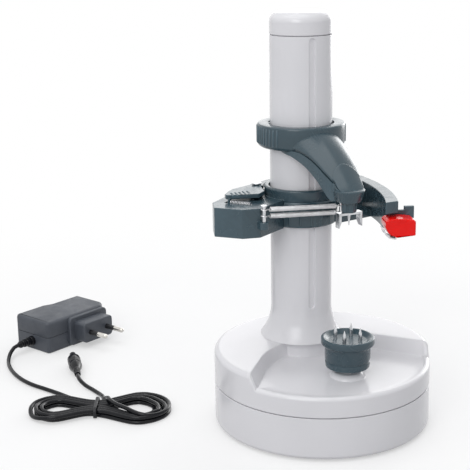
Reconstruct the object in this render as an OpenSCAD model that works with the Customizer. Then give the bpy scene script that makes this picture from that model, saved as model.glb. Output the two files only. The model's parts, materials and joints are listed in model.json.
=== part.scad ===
// Electric potato peeler.
// A round motor base with a food tray carries a white column. A holder arm and
// a spring loaded peeling carriage slide on the column. A mains adapter with
// its bundled lead lies beside it.
// Origin: centre of the base on the table. +Z up, -Y is the food side.

/* [Base] */
// outer radius of the motor base
base_r = 75; // [70:0.5:80]
// height of the rear deck
deck_z = 53.8; // [52:0.2:56]
// height of the low front rim
rim_z = 44.7; // [44:0.1:46]
// height of the seam between the two base shells
seam_z = 30.2; // [27:0.2:30.4]
// wall thickness of the shells
shell_wall = 2.4; // [2:0.1:2.8]
// radius of the round food tray
tray_r = 63.8; // [60:0.2:66]
// distance of the tray centre in front of the base centre
tray_shift = 45; // [42:0.5:47]
// thickness of the rubber feet
foot_h = 1.5; // [1.2:0.1:2.5]

/* [Column] */
// outer radius of the column
column_r = 21.5; // [21:0.1:22]
// distance of the column axis behind the base centre
column_y = 30.5; // [30:0.1:31]
// wall thickness of the column tube
column_wall = 2.2; // [2:0.1:2.4]
// height of the joint between column tube and cap
cap_z = 266.4; // [262:0.2:270]
// height of the cap above its joint
cap_h = 15.1; // [13:0.1:18]
// width of the front guide groove
groove_w = 4.4; // [4:0.1:5]

/* [Food side] */
// distance of the food axis in front of the base centre
food_y = 36; // [35.5:0.1:36.5]
// radius of the cup flange
cup_flange_r = 17.9; // [16:0.1:20]
// height of the cup flange underside
cup_flange_z = 66.6; // [64:0.1:68]
// number of food spikes on the cup
spikes = 4; // [3:1:6]
// height of the fork tips of the upper spindle
fork_tip_z = 147; // [145:0.5:150]

/* [Holder arm] */
// outer radius of the holder collar
holder_r = 30.2; // [29:0.1:31]
// top of the holder collar
holder_top = 206.4; // [205:0.1:208]
// height of the holder collar
holder_h = 15.9; // [14:0.1:17]
// number of grip ribs on each side of the collar
grip_ribs = 11; // [5:1:13]

/* [Carriage] */
// outer radius of the carriage collar
carriage_r = 25.7; // [25.5:0.1:26.2]
// bottom of the carriage
carriage_z = 137; // [136:0.5:138]
// height of the carriage collar
carriage_h = 26; // [25:0.5:27]
// top of the grip block
block_top = 156.5; // [155.5:0.1:157]

/* [Peeling arm] */
// top of the peeling arm
arm_top = 163; // [162:0.1:163.4]
// wall thickness of the peeling arm
arm_wall = 8.4; // [7.5:0.1:9]
// width of the red blade holder along the food radius
holder_w = 20; // [18:0.5:21]

/* [Adapter] */
// length of the adapter case
case_l = 67; // [62:1:72]
// width of the adapter case
case_w = 40; // [36:1:44]
// thickness of the adapter case
case_t = 27; // [24:1:32]
// diameter of the lead
lead_d = 3.2; // [3:0.1:3.6]

/* [Hidden] */
$fn = 72;
e = 0.01;
gap = 0.3;
run = 0.05;

white = [0.86, 0.86, 0.89];
teal = [0.24, 0.32, 0.36];
steel = [0.75, 0.76, 0.78];
brass = [0.78, 0.66, 0.35];
nylon = [0.88, 0.87, 0.80];
black = [0.07, 0.07, 0.08];
slate = [0.22, 0.24, 0.28];
red = [0.85, 0.08, 0.06];

// base
inner_r = base_r - shell_wall;
floor_z = foot_h + 2.6;
dish = 1.3;
tray_floor = rim_z - dish;
step_y = -28;
boss_r = 4.4;
front_boss_at = [[-19, -63.5]];
rear_boss_at = [[62, -14], [-62, 14], [54.5, 35.4], [-54.5, 35.4]];
boss_at = concat(front_boss_at, rear_boss_at);
foot_at = [[44, -44], [-44, -44], [42, 47], [-42, 47]];
jack_turn = 118;
button_turn = 58;
button_z = 40;

// gear train, module 1
plate_z = 28;
plate_t = 2;
low_z = 32.5;
high_z = 36.5;
low_t = 3;
high_t = 3.2;
motor_at = [-36.25, -0.2];
compound_at = [-29, -food_y + 7.7];
idler_at = [7.09, -0.7];
cup_at = [0, -food_y];
screw_at = [0, column_y];
pinion_t = 10;
compound_big = 48;
compound_small = 12;
cup_t = 48;
// hub of the cup gear, clear of the teeth of the large compound gear
cup_hub_r = 5;
idler_t = 24;
screw_t = 40;
post_at = [[14, 40], [-12, 40], [11, -46], [-38, -37]];

// column
bore_r = column_r - column_wall;
slot_w = 12;
slot_z0 = 70;
slot_z1 = cap_z - 5;
groove_x = -2.6;
groove_d = 1.2;
groove_z0 = 80;
groove_z1 = cap_z - 1.4;
flare_r = 36;
flare_z = 76;
collar_bore = column_r + 1.3;

// food axis
cup_body_r = 15.3;
cup_body_z = 50.6;
spindle_r = 4;
hub_r = 4.6;
hub_z0 = 157;
nose_z = 164;

// carriage, lever and arm
arm_pivot = [43, 30];
lever_pivot = [-26, 48];
lever_z = block_top + 2;
lever_t = 3;
return_at = [-56.2, 26.4];
return_turn = -53;
return_l = 16;
pin_left = [-45, -2.5];
pin_right = [14, -0.5];
// outer face of the arm: radius, and where its arc runs straight along the column
arc_r = 163.6;
arc_top = [50.3, 31];
arc_c = [arc_top[0] - arc_r, arc_top[1]];
blade_y = -47;
blade_at = [arc_c[0] + sqrt(arc_r * arc_r - pow(arc_c[1] - blade_y, 2)) + 0.49, blade_y];
blade_turn = -19.5;
blade_z = 148;

// adapter
adapter_at = [-118, 240];
adapter_turn = 25.5;
mains_pin_r = 2;
mains_pitch = 18.6;
grip_at = [-131, 163, 5.2];
grip_turn = 78;
hank_at = [-140, 76];
hank_turn = -24.5;
hank_h = 9;

// route of the lead from the adapter to the hank, and from the hank to the plug
route_a = [[-161.8, 219.1, 8], [-165.8, 217, 7.4], [-170.8, 211.5, 4.6], [-174.8, 201.5, 2.2],
    [-176.8, 189, 2], [-177, 175, 2], [-175, 160, 2], [-170.6, 146, 2], [-164.6, 134, 2],
    [-158.4, 121.5, 2], [-153.2, 109, 2.2], [-148.8, 97.7, 2.6]];
route_b = [[-134, 85.6, 4.2], [-131.6, 90.8, 3.8], [-130.2, 97, 2.8], [-130.2, 105, 2],
    [-132.2, 115, 2], [-134.8, 124, 2.6], [-136.6, 132, 4.2], [-136.4, 137.6, 5.1],
    [-135.6, 141.5, 5.2]];

// ---------- helpers ----------

module ring(r1, r0, h) {
    difference() {
        cylinder(r = r1, h = h);
        translate([0, 0, -1])
            cylinder(r = r0, h = h + 2);
    }
}

// spur gear outline, module 1, one tooth centred on the angle turn
module gear_outline(t, turn) {
    rp = t / 2;
    root = rp - 1.05;
    tip = rp + 0.62;
    step = 360 / t;
    points = [for (i = [0 : t - 1]) each [
        [root, (i - 0.27) * step], [tip, (i - 0.11) * step],
        [tip, (i + 0.11) * step], [root, (i + 0.27) * step]]];
    polygon([for (p = points) [p[0] * cos(p[1] + turn), p[0] * sin(p[1] + turn)]]);
}

module gear(t, turn, h, bore) {
    linear_extrude(height = h, convexity = 4)
        difference() {
            gear_outline(t, turn);
            circle(r = bore, $fn = 48);
        }
}

module rounded_square(l, w, r) {
    square([l - 2 * r, w], center = true);
    square([l, w - 2 * r], center = true);
    for (x = [-1, 1])
        for (y = [-1, 1])
            translate([x * (l / 2 - r), y * (w / 2 - r)])
                circle(r = r, $fn = 32);
}

// revolved disc with a rounded upper edge
module soft_disc(r, z0, z1, edge) {
    rotate_extrude($fn = 120) {
        translate([0, z0])
            square([r, z1 - z0 - edge]);
        translate([0, z0])
            square([r - edge, z1 - z0]);
        translate([r - edge, z1 - edge])
            circle(r = edge, $fn = 40);
    }
}

function turn2(p, a) = [p[0] * cos(a) - p[1] * sin(a), p[0] * sin(a) + p[1] * cos(a)];
function bearing(a, b) = atan2(b[1] - a[1], b[0] - a[0]);
// half a tooth of turn, so that a gap meets the partner's tooth
function mesh_turn(a, b, t) = bearing(b, a) + 180 / t;
// turn of a gear that has one tooth on the line towards its partner
function tooth_turn(a, b) = bearing(a, b);
// turn of gear b when gear a has t_a teeth and its own turn is turn_a
function partner_turn(a, b, t_a, t_b, turn_a) =
    bearing(b, a) + 180 / t_b + (bearing(a, b) - turn_a) * t_a / t_b;

function unit(v) = v / norm(v);
// smooth curve through hand set points
function spline_point(p, i, t) =
    let(a = p[max(i - 1, 0)], b = p[i], c = p[i + 1], d = p[min(i + 2, len(p) - 1)])
    0.5 * (2 * b + (c - a) * t + (2 * a - 5 * b + 4 * c - d) * t * t
        + (3 * b - a - 3 * c + d) * t * t * t);
function spline(p, n) = [for (i = [0 : len(p) - 2]) for (k = [0 : n - 1]) spline_point(p, i, k / n),
    p[len(p) - 1]];

// round lead swept along a route
module lead_tube(route, r, sides) {
    q = spline(route, 3);
    n = len(q);
    dirs = [for (i = [0 : n - 1]) unit(q[min(i + 1, n - 1)] - q[max(i - 1, 0)])];
    rings = [for (i = [0 : n - 1])
        let(s = unit(cross(dirs[i], [0, 0, 1])), u = cross(s, dirs[i]))
        for (k = [0 : sides - 1])
            q[i] + r * (s * cos(360 * k / sides) + u * sin(360 * k / sides))];
    walls = [for (i = [0 : n - 2]) for (k = [0 : sides - 1])
        let(a = i * sides + k, b = i * sides + (k + 1) % sides)
        [a, b, b + sides, a + sides]];
    start = [[for (k = [sides - 1 : -1 : 0]) k]];
    finish = [[for (k = [0 : sides - 1]) (n - 1) * sides + k]];
    polyhedron(points = rings, faces = concat(walls, start, finish), convexity = 6);
}

// ---------- base ----------

module base_bottom_shell() {
    color(white)
        difference() {
            union() {
                difference() {
                    rotate_extrude($fn = 120) {
                        translate([0, foot_h])
                            square([base_r - 3, seam_z - foot_h]);
                        translate([0, foot_h + 3])
                            square([base_r, seam_z - foot_h - 3]);
                        translate([base_r - 3, foot_h + 3])
                            circle(r = 3, $fn = 40);
                    }
                    translate([0, 0, floor_z])
                        cylinder(r = inner_r, h = 40, $fn = 120);
                }
                for (p = boss_at)
                    translate([p[0], p[1], floor_z - 0.5])
                        cylinder(r = boss_r, h = 18, $fn = 32);
                for (p = post_at)
                    translate([p[0], p[1], floor_z - 0.5])
                        cylinder(r = 3.4, h = plate_z - floor_z + 0.5, $fn = 32);
                translate([motor_at[0], motor_at[1], floor_z - 0.5])
                    ring(14.4, 12.4, 6);
            }
            for (p = boss_at)
                translate([p[0], p[1], 0]) {
                    cylinder(r = 1.6, h = 40, $fn = 24);
                    cylinder(r = 3.2, h = foot_h + 2, $fn = 24);
                }
            for (p = post_at)
                translate([p[0], p[1], plate_z - 8])
                    cylinder(r = 1.2, h = 9, $fn = 24);
            for (a = [-24 : 8 : 24])
                translate([22 + a, -4, 0])
                    cube([3, 28, 12], center = true);
        }
}

// plan area of the lowered tray, with the sloped ends of the rear deck
module tray_cut(r, shift) {
    translate([0, -tray_shift, 0])
        cylinder(r = r, h = 40, $fn = 120);
    translate([0, step_y + shift, 0])
        rotate([-28, 0, 0])
            translate([-100, -120, -20])
                cube([200, 120, 80]);
}

module base_top_shell() {
    color(white)
        difference() {
            union() {
                difference() {
                    union() {
                        soft_disc(base_r, seam_z + 0.6, rim_z, 2.6);
                        difference() {
                            soft_disc(base_r, seam_z + 0.6, deck_z, 3.6);
                            translate([0, 0, rim_z])
                                tray_cut(tray_r, 0);
                        }
                    }
                    // shallow dish of the tray
                    intersection() {
                        translate([0, 0, tray_floor])
                            cylinder(r = base_r - 3.8, h = 10, $fn = 120);
                        translate([0, 0, tray_floor])
                            tray_cut(tray_r, 0);
                    }
                    // hollow under the tray and under the rear deck
                    translate([0, 0, seam_z - 1])
                        cylinder(r = inner_r, h = tray_floor - shell_wall - seam_z + 1, $fn = 120);
                    difference() {
                        translate([0, 0, seam_z - 1])
                            cylinder(r = inner_r, h = deck_z - shell_wall - seam_z + 1, $fn = 120);
                        translate([0, 0, tray_floor - shell_wall])
                            tray_cut(tray_r + shell_wall, shell_wall);
                    }
                }
                // tongue that seats in the bottom shell
                translate([0, 0, seam_z - 1.6])
                    ring(inner_r - 0.1, inner_r - 1.8, 4);
                // saddle that carries the column where the tray's wall runs under it
                translate([0, column_y, tray_floor - 1.4])
                    cylinder(r = column_r + 2.5, h = deck_z - tray_floor + 1.4, $fn = 96);
                // spindle boss under the cup
                translate([0, -food_y, tray_floor - 1])
                    rotate_extrude($fn = 64)
                        polygon([[0, 0], [12, 0], [12, 2], [9.5, 4.6], [0, 4.6]]);
                for (p = front_boss_at)
                    translate([p[0], p[1], floor_z + 17.6])
                        cylinder(r = boss_r, h = tray_floor - floor_z - 18.6, $fn = 32);
                for (p = rear_boss_at)
                    translate([p[0], p[1], floor_z + 17.6])
                        cylinder(r = boss_r, h = deck_z - floor_z - 18.6, $fn = 32);
                // cradle of the start switch
                intersection() {
                    cylinder(r = inner_r + 0.5, h = deck_z - 1);
                    rotate([0, 0, button_turn])
                        for (y = [-9.6, 8])
                            translate([inner_r - 24, y, button_z - 8])
                                cube([26, 1.6, 12]);
                }
            }
            translate([0, -food_y, 20])
                cylinder(r = spindle_r + run, h = 60);
            translate([0, column_y, 20])
                cylinder(r = bore_r - 0.2, h = 60);
            for (p = boss_at)
                translate([p[0], p[1], floor_z])
                    cylinder(r = 1.4, h = 30, $fn = 24);
            // socket opening and button opening in the rear wall
            rotate([0, 0, jack_turn])
                translate([inner_r - 3, 0, button_z])
                    rotate([0, 90, 0])
                        cylinder(r = 5, h = 12, $fn = 40);
            rotate([0, 0, button_turn])
                translate([inner_r - 3, 0, button_z])
                    rotate([0, 90, 0])
                        cylinder(r = 6.3, h = 12, $fn = 48);
        }
}

module rubber_feet() {
    color(black)
        for (p = foot_at)
            translate([p[0], p[1], 0])
                cylinder(r1 = 6.4, r2 = 7, h = foot_h, $fn = 40);
}

module base_screws() {
    color(steel)
        for (p = boss_at)
            translate([p[0], p[1], foot_h + 0.3]) {
                cylinder(r = 3, h = 1.7, $fn = 24);
                cylinder(r = 1.4, h = 26, $fn = 24);
            }
}

// ---------- drive inside the base ----------

module gearbox_plate() {
    color(nylon)
        translate([0, 0, plate_z])
            linear_extrude(height = plate_t)
                difference() {
                    polygon([[-52, -10], [-52, 12], [-26, 20], [-20, 45], [20, 45], [24, 10],
                        [18, -52], [-14, -52], [-44, -44]]);
                    translate(motor_at)
                        circle(r = 3.2, $fn = 40);
                    translate(cup_at)
                        circle(r = 2.5 + run, $fn = 40);
                    translate(screw_at)
                        circle(r = 2.5 + run, $fn = 40);
                    translate(compound_at)
                        circle(r = 1.5, $fn = 32);
                    translate(idler_at)
                        circle(r = 1.5, $fn = 32);
                    for (p = post_at)
                        translate(p)
                            circle(r = 1.2, $fn = 24);
                    translate([-6, 12])
                        circle(r = 6, $fn = 40);
                    translate([6, -19])
                        circle(r = 6, $fn = 40);
                }
}

module plate_screws() {
    color(steel)
        for (p = post_at)
            translate([p[0], p[1], plate_z - 6]) {
                cylinder(r = 1.2, h = 8, $fn = 24);
                translate([0, 0, 8])
                    cylinder(r = 2.3, h = 1.4, $fn = 24);
            }
}

module gear_axles() {
    color(steel)
        for (p = [compound_at, idler_at])
            translate([p[0], p[1], plate_z])
                cylinder(r = 1.5, h = high_z + high_t + 0.8 - plate_z, $fn = 32);
}

module motor_can() {
    color(steel)
        translate([motor_at[0], motor_at[1], 0])
            difference() {
                union() {
                    translate([0, 0, floor_z])
                        cylinder(r = 12.2, h = plate_z - floor_z, $fn = 64);
                    translate([0, 0, plate_z - 1])
                        cylinder(r = 3.1, h = 2.6, $fn = 40);
                }
                translate([0, 0, plate_z - 8])
                    cylinder(r = 1 + run, h = 20, $fn = 32);
                for (a = [0, 180])
                    rotate([0, 0, a])
                        translate([12.6, 0, floor_z + 14])
                            cube([2, 7, 5], center = true);
            }
}

module motor_pinion() {
    turn = partner_turn(compound_at, motor_at, compound_big, pinion_t, 0);
    color(brass)
        translate([motor_at[0], motor_at[1], 0]) {
            translate([0, 0, low_z])
                gear(pinion_t, turn, low_t, 1);
            translate([0, 0, plate_z - 7])
                cylinder(r = 1, h = low_z + low_t + 0.4 - plate_z + 7, $fn = 32);
        }
}

module compound_gear() {
    turn = partner_turn(cup_at, compound_at, cup_t, compound_small, 0);
    color(nylon)
        translate([compound_at[0], compound_at[1], 0]) {
            translate([0, 0, low_z])
                gear(compound_big, 0, low_t, 1.5 + run);
            translate([0, 0, low_z + low_t])
                gear(compound_small, turn, high_z + high_t - low_z - low_t, 1.5 + run);
            translate([0, 0, plate_z + plate_t + 0.4])
                ring(4, 1.5 + run, low_z - plate_z - plate_t - 0.4);
        }
}

module idler_gear() {
    turn = partner_turn(cup_at, idler_at, cup_t, idler_t, 0);
    color(nylon)
        translate([idler_at[0], idler_at[1], 0]) {
            translate([0, 0, high_z])
                gear(idler_t, turn, high_t, 1.5 + run);
            translate([0, 0, plate_z + plate_t + 0.4])
                ring(3.6, 1.5 + run, high_z - plate_z - plate_t - 0.4);
        }
}

module cup_gear() {
    color(nylon)
        translate([0, -food_y, 0]) {
            translate([0, 0, high_z])
                gear(cup_t, 0, high_t, spindle_r);
            translate([0, 0, plate_z + plate_t + 0.4])
                ring(cup_hub_r, spindle_r, high_z - plate_z - plate_t - 0.4);
        }
}

module screw_gear() {
    turn_i = partner_turn(cup_at, idler_at, cup_t, idler_t, 0);
    turn = partner_turn(idler_at, screw_at, idler_t, screw_t, turn_i);
    color(nylon)
        translate([0, column_y, 0]) {
            translate([0, 0, high_z])
                gear(screw_t, turn, high_t, 5);
            translate([0, 0, plate_z + plate_t + 0.4])
                ring(8, 5, high_z - plate_z - plate_t - 0.4);
        }
}

module lead_screw() {
    color(steel)
        translate([0, column_y, 0])
            rotate_extrude($fn = 40)
                polygon([[0, plate_z - 3], [2.5, plate_z - 3], [2.5, plate_z + plate_t + 0.4],
                    [5, plate_z + plate_t + 0.4], [5, 60], [4.4, 61], [4.4, 66], [5, 67],
                    [5, cap_z - 12], [4.4, cap_z - 11], [4.4, cap_z - 7], [2.5, cap_z - 6],
                    [2.5, cap_z + 3], [0, cap_z + 3]]);
}

module cup_spindle() {
    color(steel)
        translate([0, -food_y, 0])
            rotate_extrude($fn = 40)
                polygon([[0, plate_z - 3], [2.5, plate_z - 3], [2.5, plate_z + plate_t + 0.4],
                    [spindle_r, plate_z + plate_t + 0.4], [spindle_r, cup_body_z + 8],
                    [0, cup_body_z + 8]]);
}

// ---------- driven cup ----------

module food_cup() {
    z1 = cup_flange_z;
    color(teal)
        translate([0, -food_y, 0])
            difference() {
                rotate_extrude($fn = 80)
                    polygon([[0, cup_body_z], [cup_body_r - 1, cup_body_z],
                        [cup_body_r - 0.4, cup_body_z + 1],
                        [cup_body_r - 0.2, cup_body_z + 4], [cup_body_r - 0.7, cup_body_z + 4.4],
                        [cup_body_r - 0.7, cup_body_z + 5.2], [cup_body_r, cup_body_z + 5.6],
                        [cup_body_r, z1 - 2], [cup_flange_r - 0.6, z1], [cup_flange_r, z1 + 0.8],
                        [cup_flange_r, z1 + 4], [cup_flange_r - 0.8, z1 + 4.8],
                        [cup_flange_r - 2, z1 + 4.8], [cup_flange_r - 5, z1 + 2.4], [0, z1 + 1.6]]);
                translate([0, 0, cup_body_z - 1])
                    cylinder(r = spindle_r, h = 9);
                for (i = [0 : spikes - 1])
                    rotate([0, 0, 45 + 360 * i / spikes])
                        translate([8.5, 0, z1 - 5])
                            cylinder(r = 1.3, h = 20, $fn = 24);
            }
}

module cup_spikes() {
    color(steel)
        translate([0, -food_y, 0])
            for (i = [0 : spikes - 1])
                rotate([0, 0, 45 + 360 * i / spikes])
                    translate([8.5, 0, cup_flange_z - 5]) {
                        cylinder(r = 1.3, h = 12, $fn = 24);
                        translate([0, 0, 12])
                            cylinder(r1 = 1.3, r2 = 0.2, h = 4.5, $fn = 24);
                    }
}

// ---------- electrics ----------

module dc_jack() {
    color(black)
        rotate([0, 0, jack_turn])
            translate([0, 0, button_z])
                rotate([0, 90, 0])
                    difference() {
                        translate([0, 0, inner_r - 9])
                            union() {
                                cylinder(r = 4.9, h = 10.6, $fn = 40);
                                translate([-6, -5.5, -3])
                                    cube([12, 11, 9]);
                            }
                        translate([0, 0, inner_r - 8])
                            ring(3.1, 1, 20);
                    }
}

module start_switch() {
    color(black)
        rotate([0, 0, button_turn])
            translate([inner_r - 19, 0, button_z])
                difference() {
                    union() {
                        translate([-5, -8, -9])
                            cube([8, 16, 18]);
                        translate([3, 0, 0])
                            rotate([0, 90, 0])
                                ring(4.2, 2.6, 3);
                    }
                    translate([1, 0, 0])
                        rotate([0, 90, 0])
                            cylinder(r = 2.6, h = 10, $fn = 32);
                }
}

module start_button() {
    color(teal)
        rotate([0, 0, button_turn])
            translate([inner_r, 0, button_z])
                rotate([0, 90, 0]) {
                    translate([0, 0, -2.3])
                        cylinder(r = 7.1, h = 1.6, $fn = 48);
                    translate([0, 0, -1])
                        cylinder(r = 5.9, h = 5.1, $fn = 48);
                    translate([0, 0, 4.1])
                        cylinder(r1 = 5.9, r2 = 5.1, h = 0.8, $fn = 48);
                    translate([0, 0, -13.4])
                        cylinder(r = 2.3, h = 11.2, $fn = 32);
                }
}

module button_spring() {
    color(steel)
        rotate([0, 0, button_turn])
            translate([inner_r - 12.7, 0, button_z])
                rotate([0, 90, 0])
                    ring(4, 2.9, 10);
}

module limit_switch() {
    color(black)
        translate([-8, column_y + 7, deck_z + 6.2]) {
            cube([16, 5, 11]);
            for (y = [0.2, 4])
                translate([0.8, y, 11])
                    cube([3, 0.8, 4]);
            translate([2.3, 0.2, 13.4])
                rotate([-90, 0, 0])
                    cylinder(r = 0.6, h = 4.6, $fn = 24);
            translate([10, 2.5, 11])
                cylinder(r = 0.9, h = 2.6, $fn = 24);
        }
}

module limit_lever() {
    color(steel)
        translate([-5.7, column_y + 8.3, deck_z + 19.6])
            rotate([-90, 0, 0])
                difference() {
                    union() {
                        cylinder(r = 1.3, h = 2.4, $fn = 32);
                        rotate([0, 0, -16])
                            translate([0.6, -1.2, 0])
                                cube([14, 0.8, 2.4]);
                    }
                    translate([0, 0, -1])
                        cylinder(r = 0.6 + run, h = 5, $fn = 24);
                }
}

// ---------- column ----------

module column_tube() {
    color(white)
        translate([0, column_y, 0])
            difference() {
                union() {
                    cylinder(r = column_r, h = cap_z - 0.2, $fn = 96);
                    rotate_extrude($fn = 96)
                        difference() {
                            translate([0, deck_z])
                                square([column_r + 8, flare_z - deck_z]);
                            translate([column_r + flare_r, flare_z])
                                circle(r = flare_r, $fn = 160);
                        }
                }
                translate([0, 0, -50])
                    cylinder(r = 80, h = 50 + deck_z - 6);
                translate([0, 0, deck_z - 10])
                    ring(80, bore_r - 0.4, 10);
                difference() {
                    cylinder(r = bore_r, h = 300, $fn = 80);
                    translate([0, 0, deck_z - 10])
                        ring(bore_r + 1, bore_r - 2.2, 14);
                    // shelf of the end switch
                    translate([-9, 6.4, deck_z + 3.8])
                        cube([18, 14, 2.4]);
                }
                // rear slot for the nut carrier
                translate([-slot_w / 2, 8, slot_z0])
                    cube([slot_w, 20, slot_z1 - slot_z0 - slot_w / 2]);
                translate([0, 8, slot_z1 - slot_w / 2])
                    rotate([-90, 0, 0])
                        cylinder(r = slot_w / 2, h = 20, $fn = 48);
                // front guide groove
                translate([groove_x, 0, 0]) {
                    translate([-groove_w / 2, -column_r - 2, groove_z0])
                        cube([groove_w, 2 + groove_d + 0.15, groove_z1 - groove_z0 - groove_w / 2]);
                    for (z = [groove_z0, groove_z1 - groove_w / 2])
                        translate([0, -column_r - 2, z])
                            rotate([-90, 0, 0])
                                cylinder(r = groove_w / 2, h = 2 + groove_d + 0.15, $fn = 32);
                }
            }
}

module column_cap() {
    edge = 6.6;
    color(white)
        translate([0, column_y, 0])
            difference() {
                union() {
                    soft_disc(column_r, cap_z, cap_z + cap_h, edge);
                    translate([0, 0, cap_z - 5])
                        cylinder(r = bore_r - 0.05, h = 6, $fn = 80);
                }
                // fine step around the top disc
                translate([0, 0, cap_z + cap_h - 0.5])
                    ring(column_r - edge + 0.8, column_r - edge, 1);
                // shadow line at the joint
                translate([0, 0, cap_z])
                    ring(column_r + 1, column_r - 0.4, 0.5);
                translate([0, 0, cap_z - 6])
                    cylinder(r = 4.5, h = 10.4, $fn = 40);
                translate([0, 0, cap_z - 6])
                    ring(bore_r - 2.6, 7, 4 + cap_h - 3);
            }
}

module screw_bush() {
    color(brass)
        translate([0, column_y, cap_z - 4.8])
            ring(4.5, 2.5 + run, 8.4);
}

// ---------- holder arm ----------

// outline of the arm from above
module arm_plan(inset) {
    offset_points = [[-23 + inset, 14], [-19.6 + inset, 9], [-17.4 + inset, 1], [-15.4 + inset, -8],
        [-13.6 + inset, -17.5], [-12 + inset, -26.5], [-9.6 + inset, -34]];
    pts = concat(offset_points, [for (i = [len(offset_points) - 1 : -1 : 0])
        [-offset_points[i][0], offset_points[i][1]]]);
    polygon(concat(pts, [[22 - inset, 24], [-22 + inset, 24]]));
    translate([0, -35.6])
        circle(r = 9.6 - inset, $fn = 64);
}

// crowned top surface of the arm, as part of a large torus
module arm_crown(drop) {
    big = 150;
    tube = 22;
    translate([0, 65.8, 68 + holder_top - 206.4])
        rotate([0, 90, 0])
            rotate_extrude($fn = 240) {
                translate([big - tube - drop, 0])
                    circle(r = tube, $fn = 72);
                translate([0, -tube])
                    square([big - tube - drop, 2 * tube]);
            }
}

// side view of the arm below its crown
module arm_side(lift) {
    rotate([90, 0, 90])
        translate([0, 0, -40])
            linear_extrude(height = 80)
                polygon([[24, holder_top - 0.3], [24, 190.5 + lift], [13, 189 + lift],
                    [6, 186.6 + lift], [-1, 184 + lift], [-8, 180.8 + lift], [-17, 175 + lift],
                    [-24, 169 + lift], [-28, nose_z + 1.2 + lift], [-29.4, nose_z + lift],
                    [-32.6, nose_z + lift], [-34.4, nose_z + 4.4], [-37, nose_z + 6.8],
                    [-40, nose_z + 7.6], [-60, nose_z + 7.6], [-60, holder_top - 0.3]]);
}

module upper_holder() {
    z0 = holder_top - holder_h;
    color(teal)
        difference() {
            union() {
                // collar
                translate([0, column_y, 0])
                    rotate_extrude($fn = 96)
                        polygon([[0, z0], [holder_r - 2.4, z0], [holder_r - 0.7, z0 + 1],
                            [holder_r, z0 + 2.6], [holder_r, holder_top - 1],
                            [holder_r - 1, holder_top], [0, holder_top]]);
                for (s = [-1, 1])
                    for (i = [0 : grip_ribs - 1])
                        translate([0, column_y, z0 + 2.4])
                            rotate([0, 0, 90 + s * (60 + 6 * i)])
                                translate([holder_r - 0.1, 0, 0])
                                    cylinder(r = 0.7, h = holder_h - 4, $fn = 16);
                // drooping arm
                difference() {
                    intersection() {
                        translate([0, 0, nose_z - 2])
                            linear_extrude(height = 60)
                                arm_plan(0);
                        arm_crown(0);
                        arm_side(0);
                    }
                    // hollow underside
                    difference() {
                        intersection() {
                            translate([0, 0, nose_z - 3])
                                linear_extrude(height = 60)
                                    arm_plan(2.4);
                            arm_crown(2.8);
                            translate([-40, -60, 0])
                                cube([80, 64, 300]);
                        }
                        translate([0, -food_y, 0])
                            cylinder(r = 8.4, h = 300);
                    }
                }
                // raised nose cap
                intersection() {
                    translate([0, -food_y - 2.4, nose_z + 2])
                        cylinder(r = 12, h = 60, $fn = 72);
                    arm_crown(-0.7);
                    translate([0, 0, nose_z + 2])
                        linear_extrude(height = 60)
                            arm_plan(-0.5);
                    arm_side(3);
                }
                // flared spindle housing below the nose
                translate([0, -food_y, 0])
                    rotate_extrude($fn = 64)
                        polygon([[0, nose_z], [7.9, nose_z], [10.4, nose_z + 7.6], [9, nose_z + 8.4],
                            [0, nose_z + 8.4]]);
                // rear housing of the release button
                translate([-11, column_y + holder_r - 3, z0 + 1.6])
                    cube([22, 9, 12.4]);
            }
            translate([0, column_y, z0 - 1])
                cylinder(r = collar_bore, h = holder_h + 2, $fn = 96);
            // the column side of the arm stays open
            translate([0, column_y, 150])
                cylinder(r = collar_bore, h = 60, $fn = 96);
            // spindle hole and clip room
            translate([0, -food_y, nose_z - 1])
                cylinder(r = 4.5, h = 6.2, $fn = 48);
            translate([0, -food_y, nose_z + 5])
                cylinder(r = 4.6, h = 2.8, $fn = 48);
            // channel of the release button
            translate([-8.6, column_y + holder_r - 1.4, z0 + 3.6])
                cube([30, 5.6, 8.4]);
        }
    color(teal)
        translate([0, column_y, 0])
            intersection() {
                translate([0, 0, z0])
                    ring(collar_bore + 0.4, column_r + gap, holder_h);
                union() {
                    for (a = [30, 150])
                        rotate([0, 0, a])
                            translate([column_r - 2, -3, z0 + 0.6])
                                cube([6, 6, holder_h - 1.2]);
                }
            }
    // key in the guide groove
    color(teal)
        translate([groove_x, column_y, z0 + 2])
            translate([-1.9, -collar_bore - 0.6, 0])
                cube([3.8, 2.5, holder_h - 4]);
}

module spindle_bush() {
    color(brass)
        translate([0, -food_y, nose_z])
            ring(4.5, 2.5 + run, 5);
}

module upper_spindle() {
    color(steel)
        translate([0, -food_y, 0]) {
            translate([0, 0, hub_z0 + 1.2])
                cylinder(r = 2.5, h = nose_z + 7.2 - hub_z0 - 1.2, $fn = 40);
            translate([0, 0, nose_z + 5.3])
                ring(3.9, 2.5, 1.1);
        }
}

module spindle_hub() {
    color(teal)
        translate([0, -food_y, 0])
            difference() {
                union() {
                    translate([0, 0, hub_z0])
                        cylinder(r = hub_r, h = nose_z - 0.4 - hub_z0, $fn = 48);
                    for (i = [0 : 7])
                        rotate([0, 0, 45 * i])
                            translate([hub_r, 0, hub_z0 + 0.6])
                                cylinder(r = 0.5, h = 4.6, $fn = 16);
                }
                translate([0, 0, hub_z0 + 1.2])
                    cylinder(r = 2.5, h = 10, $fn = 40);
            }
}

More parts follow.
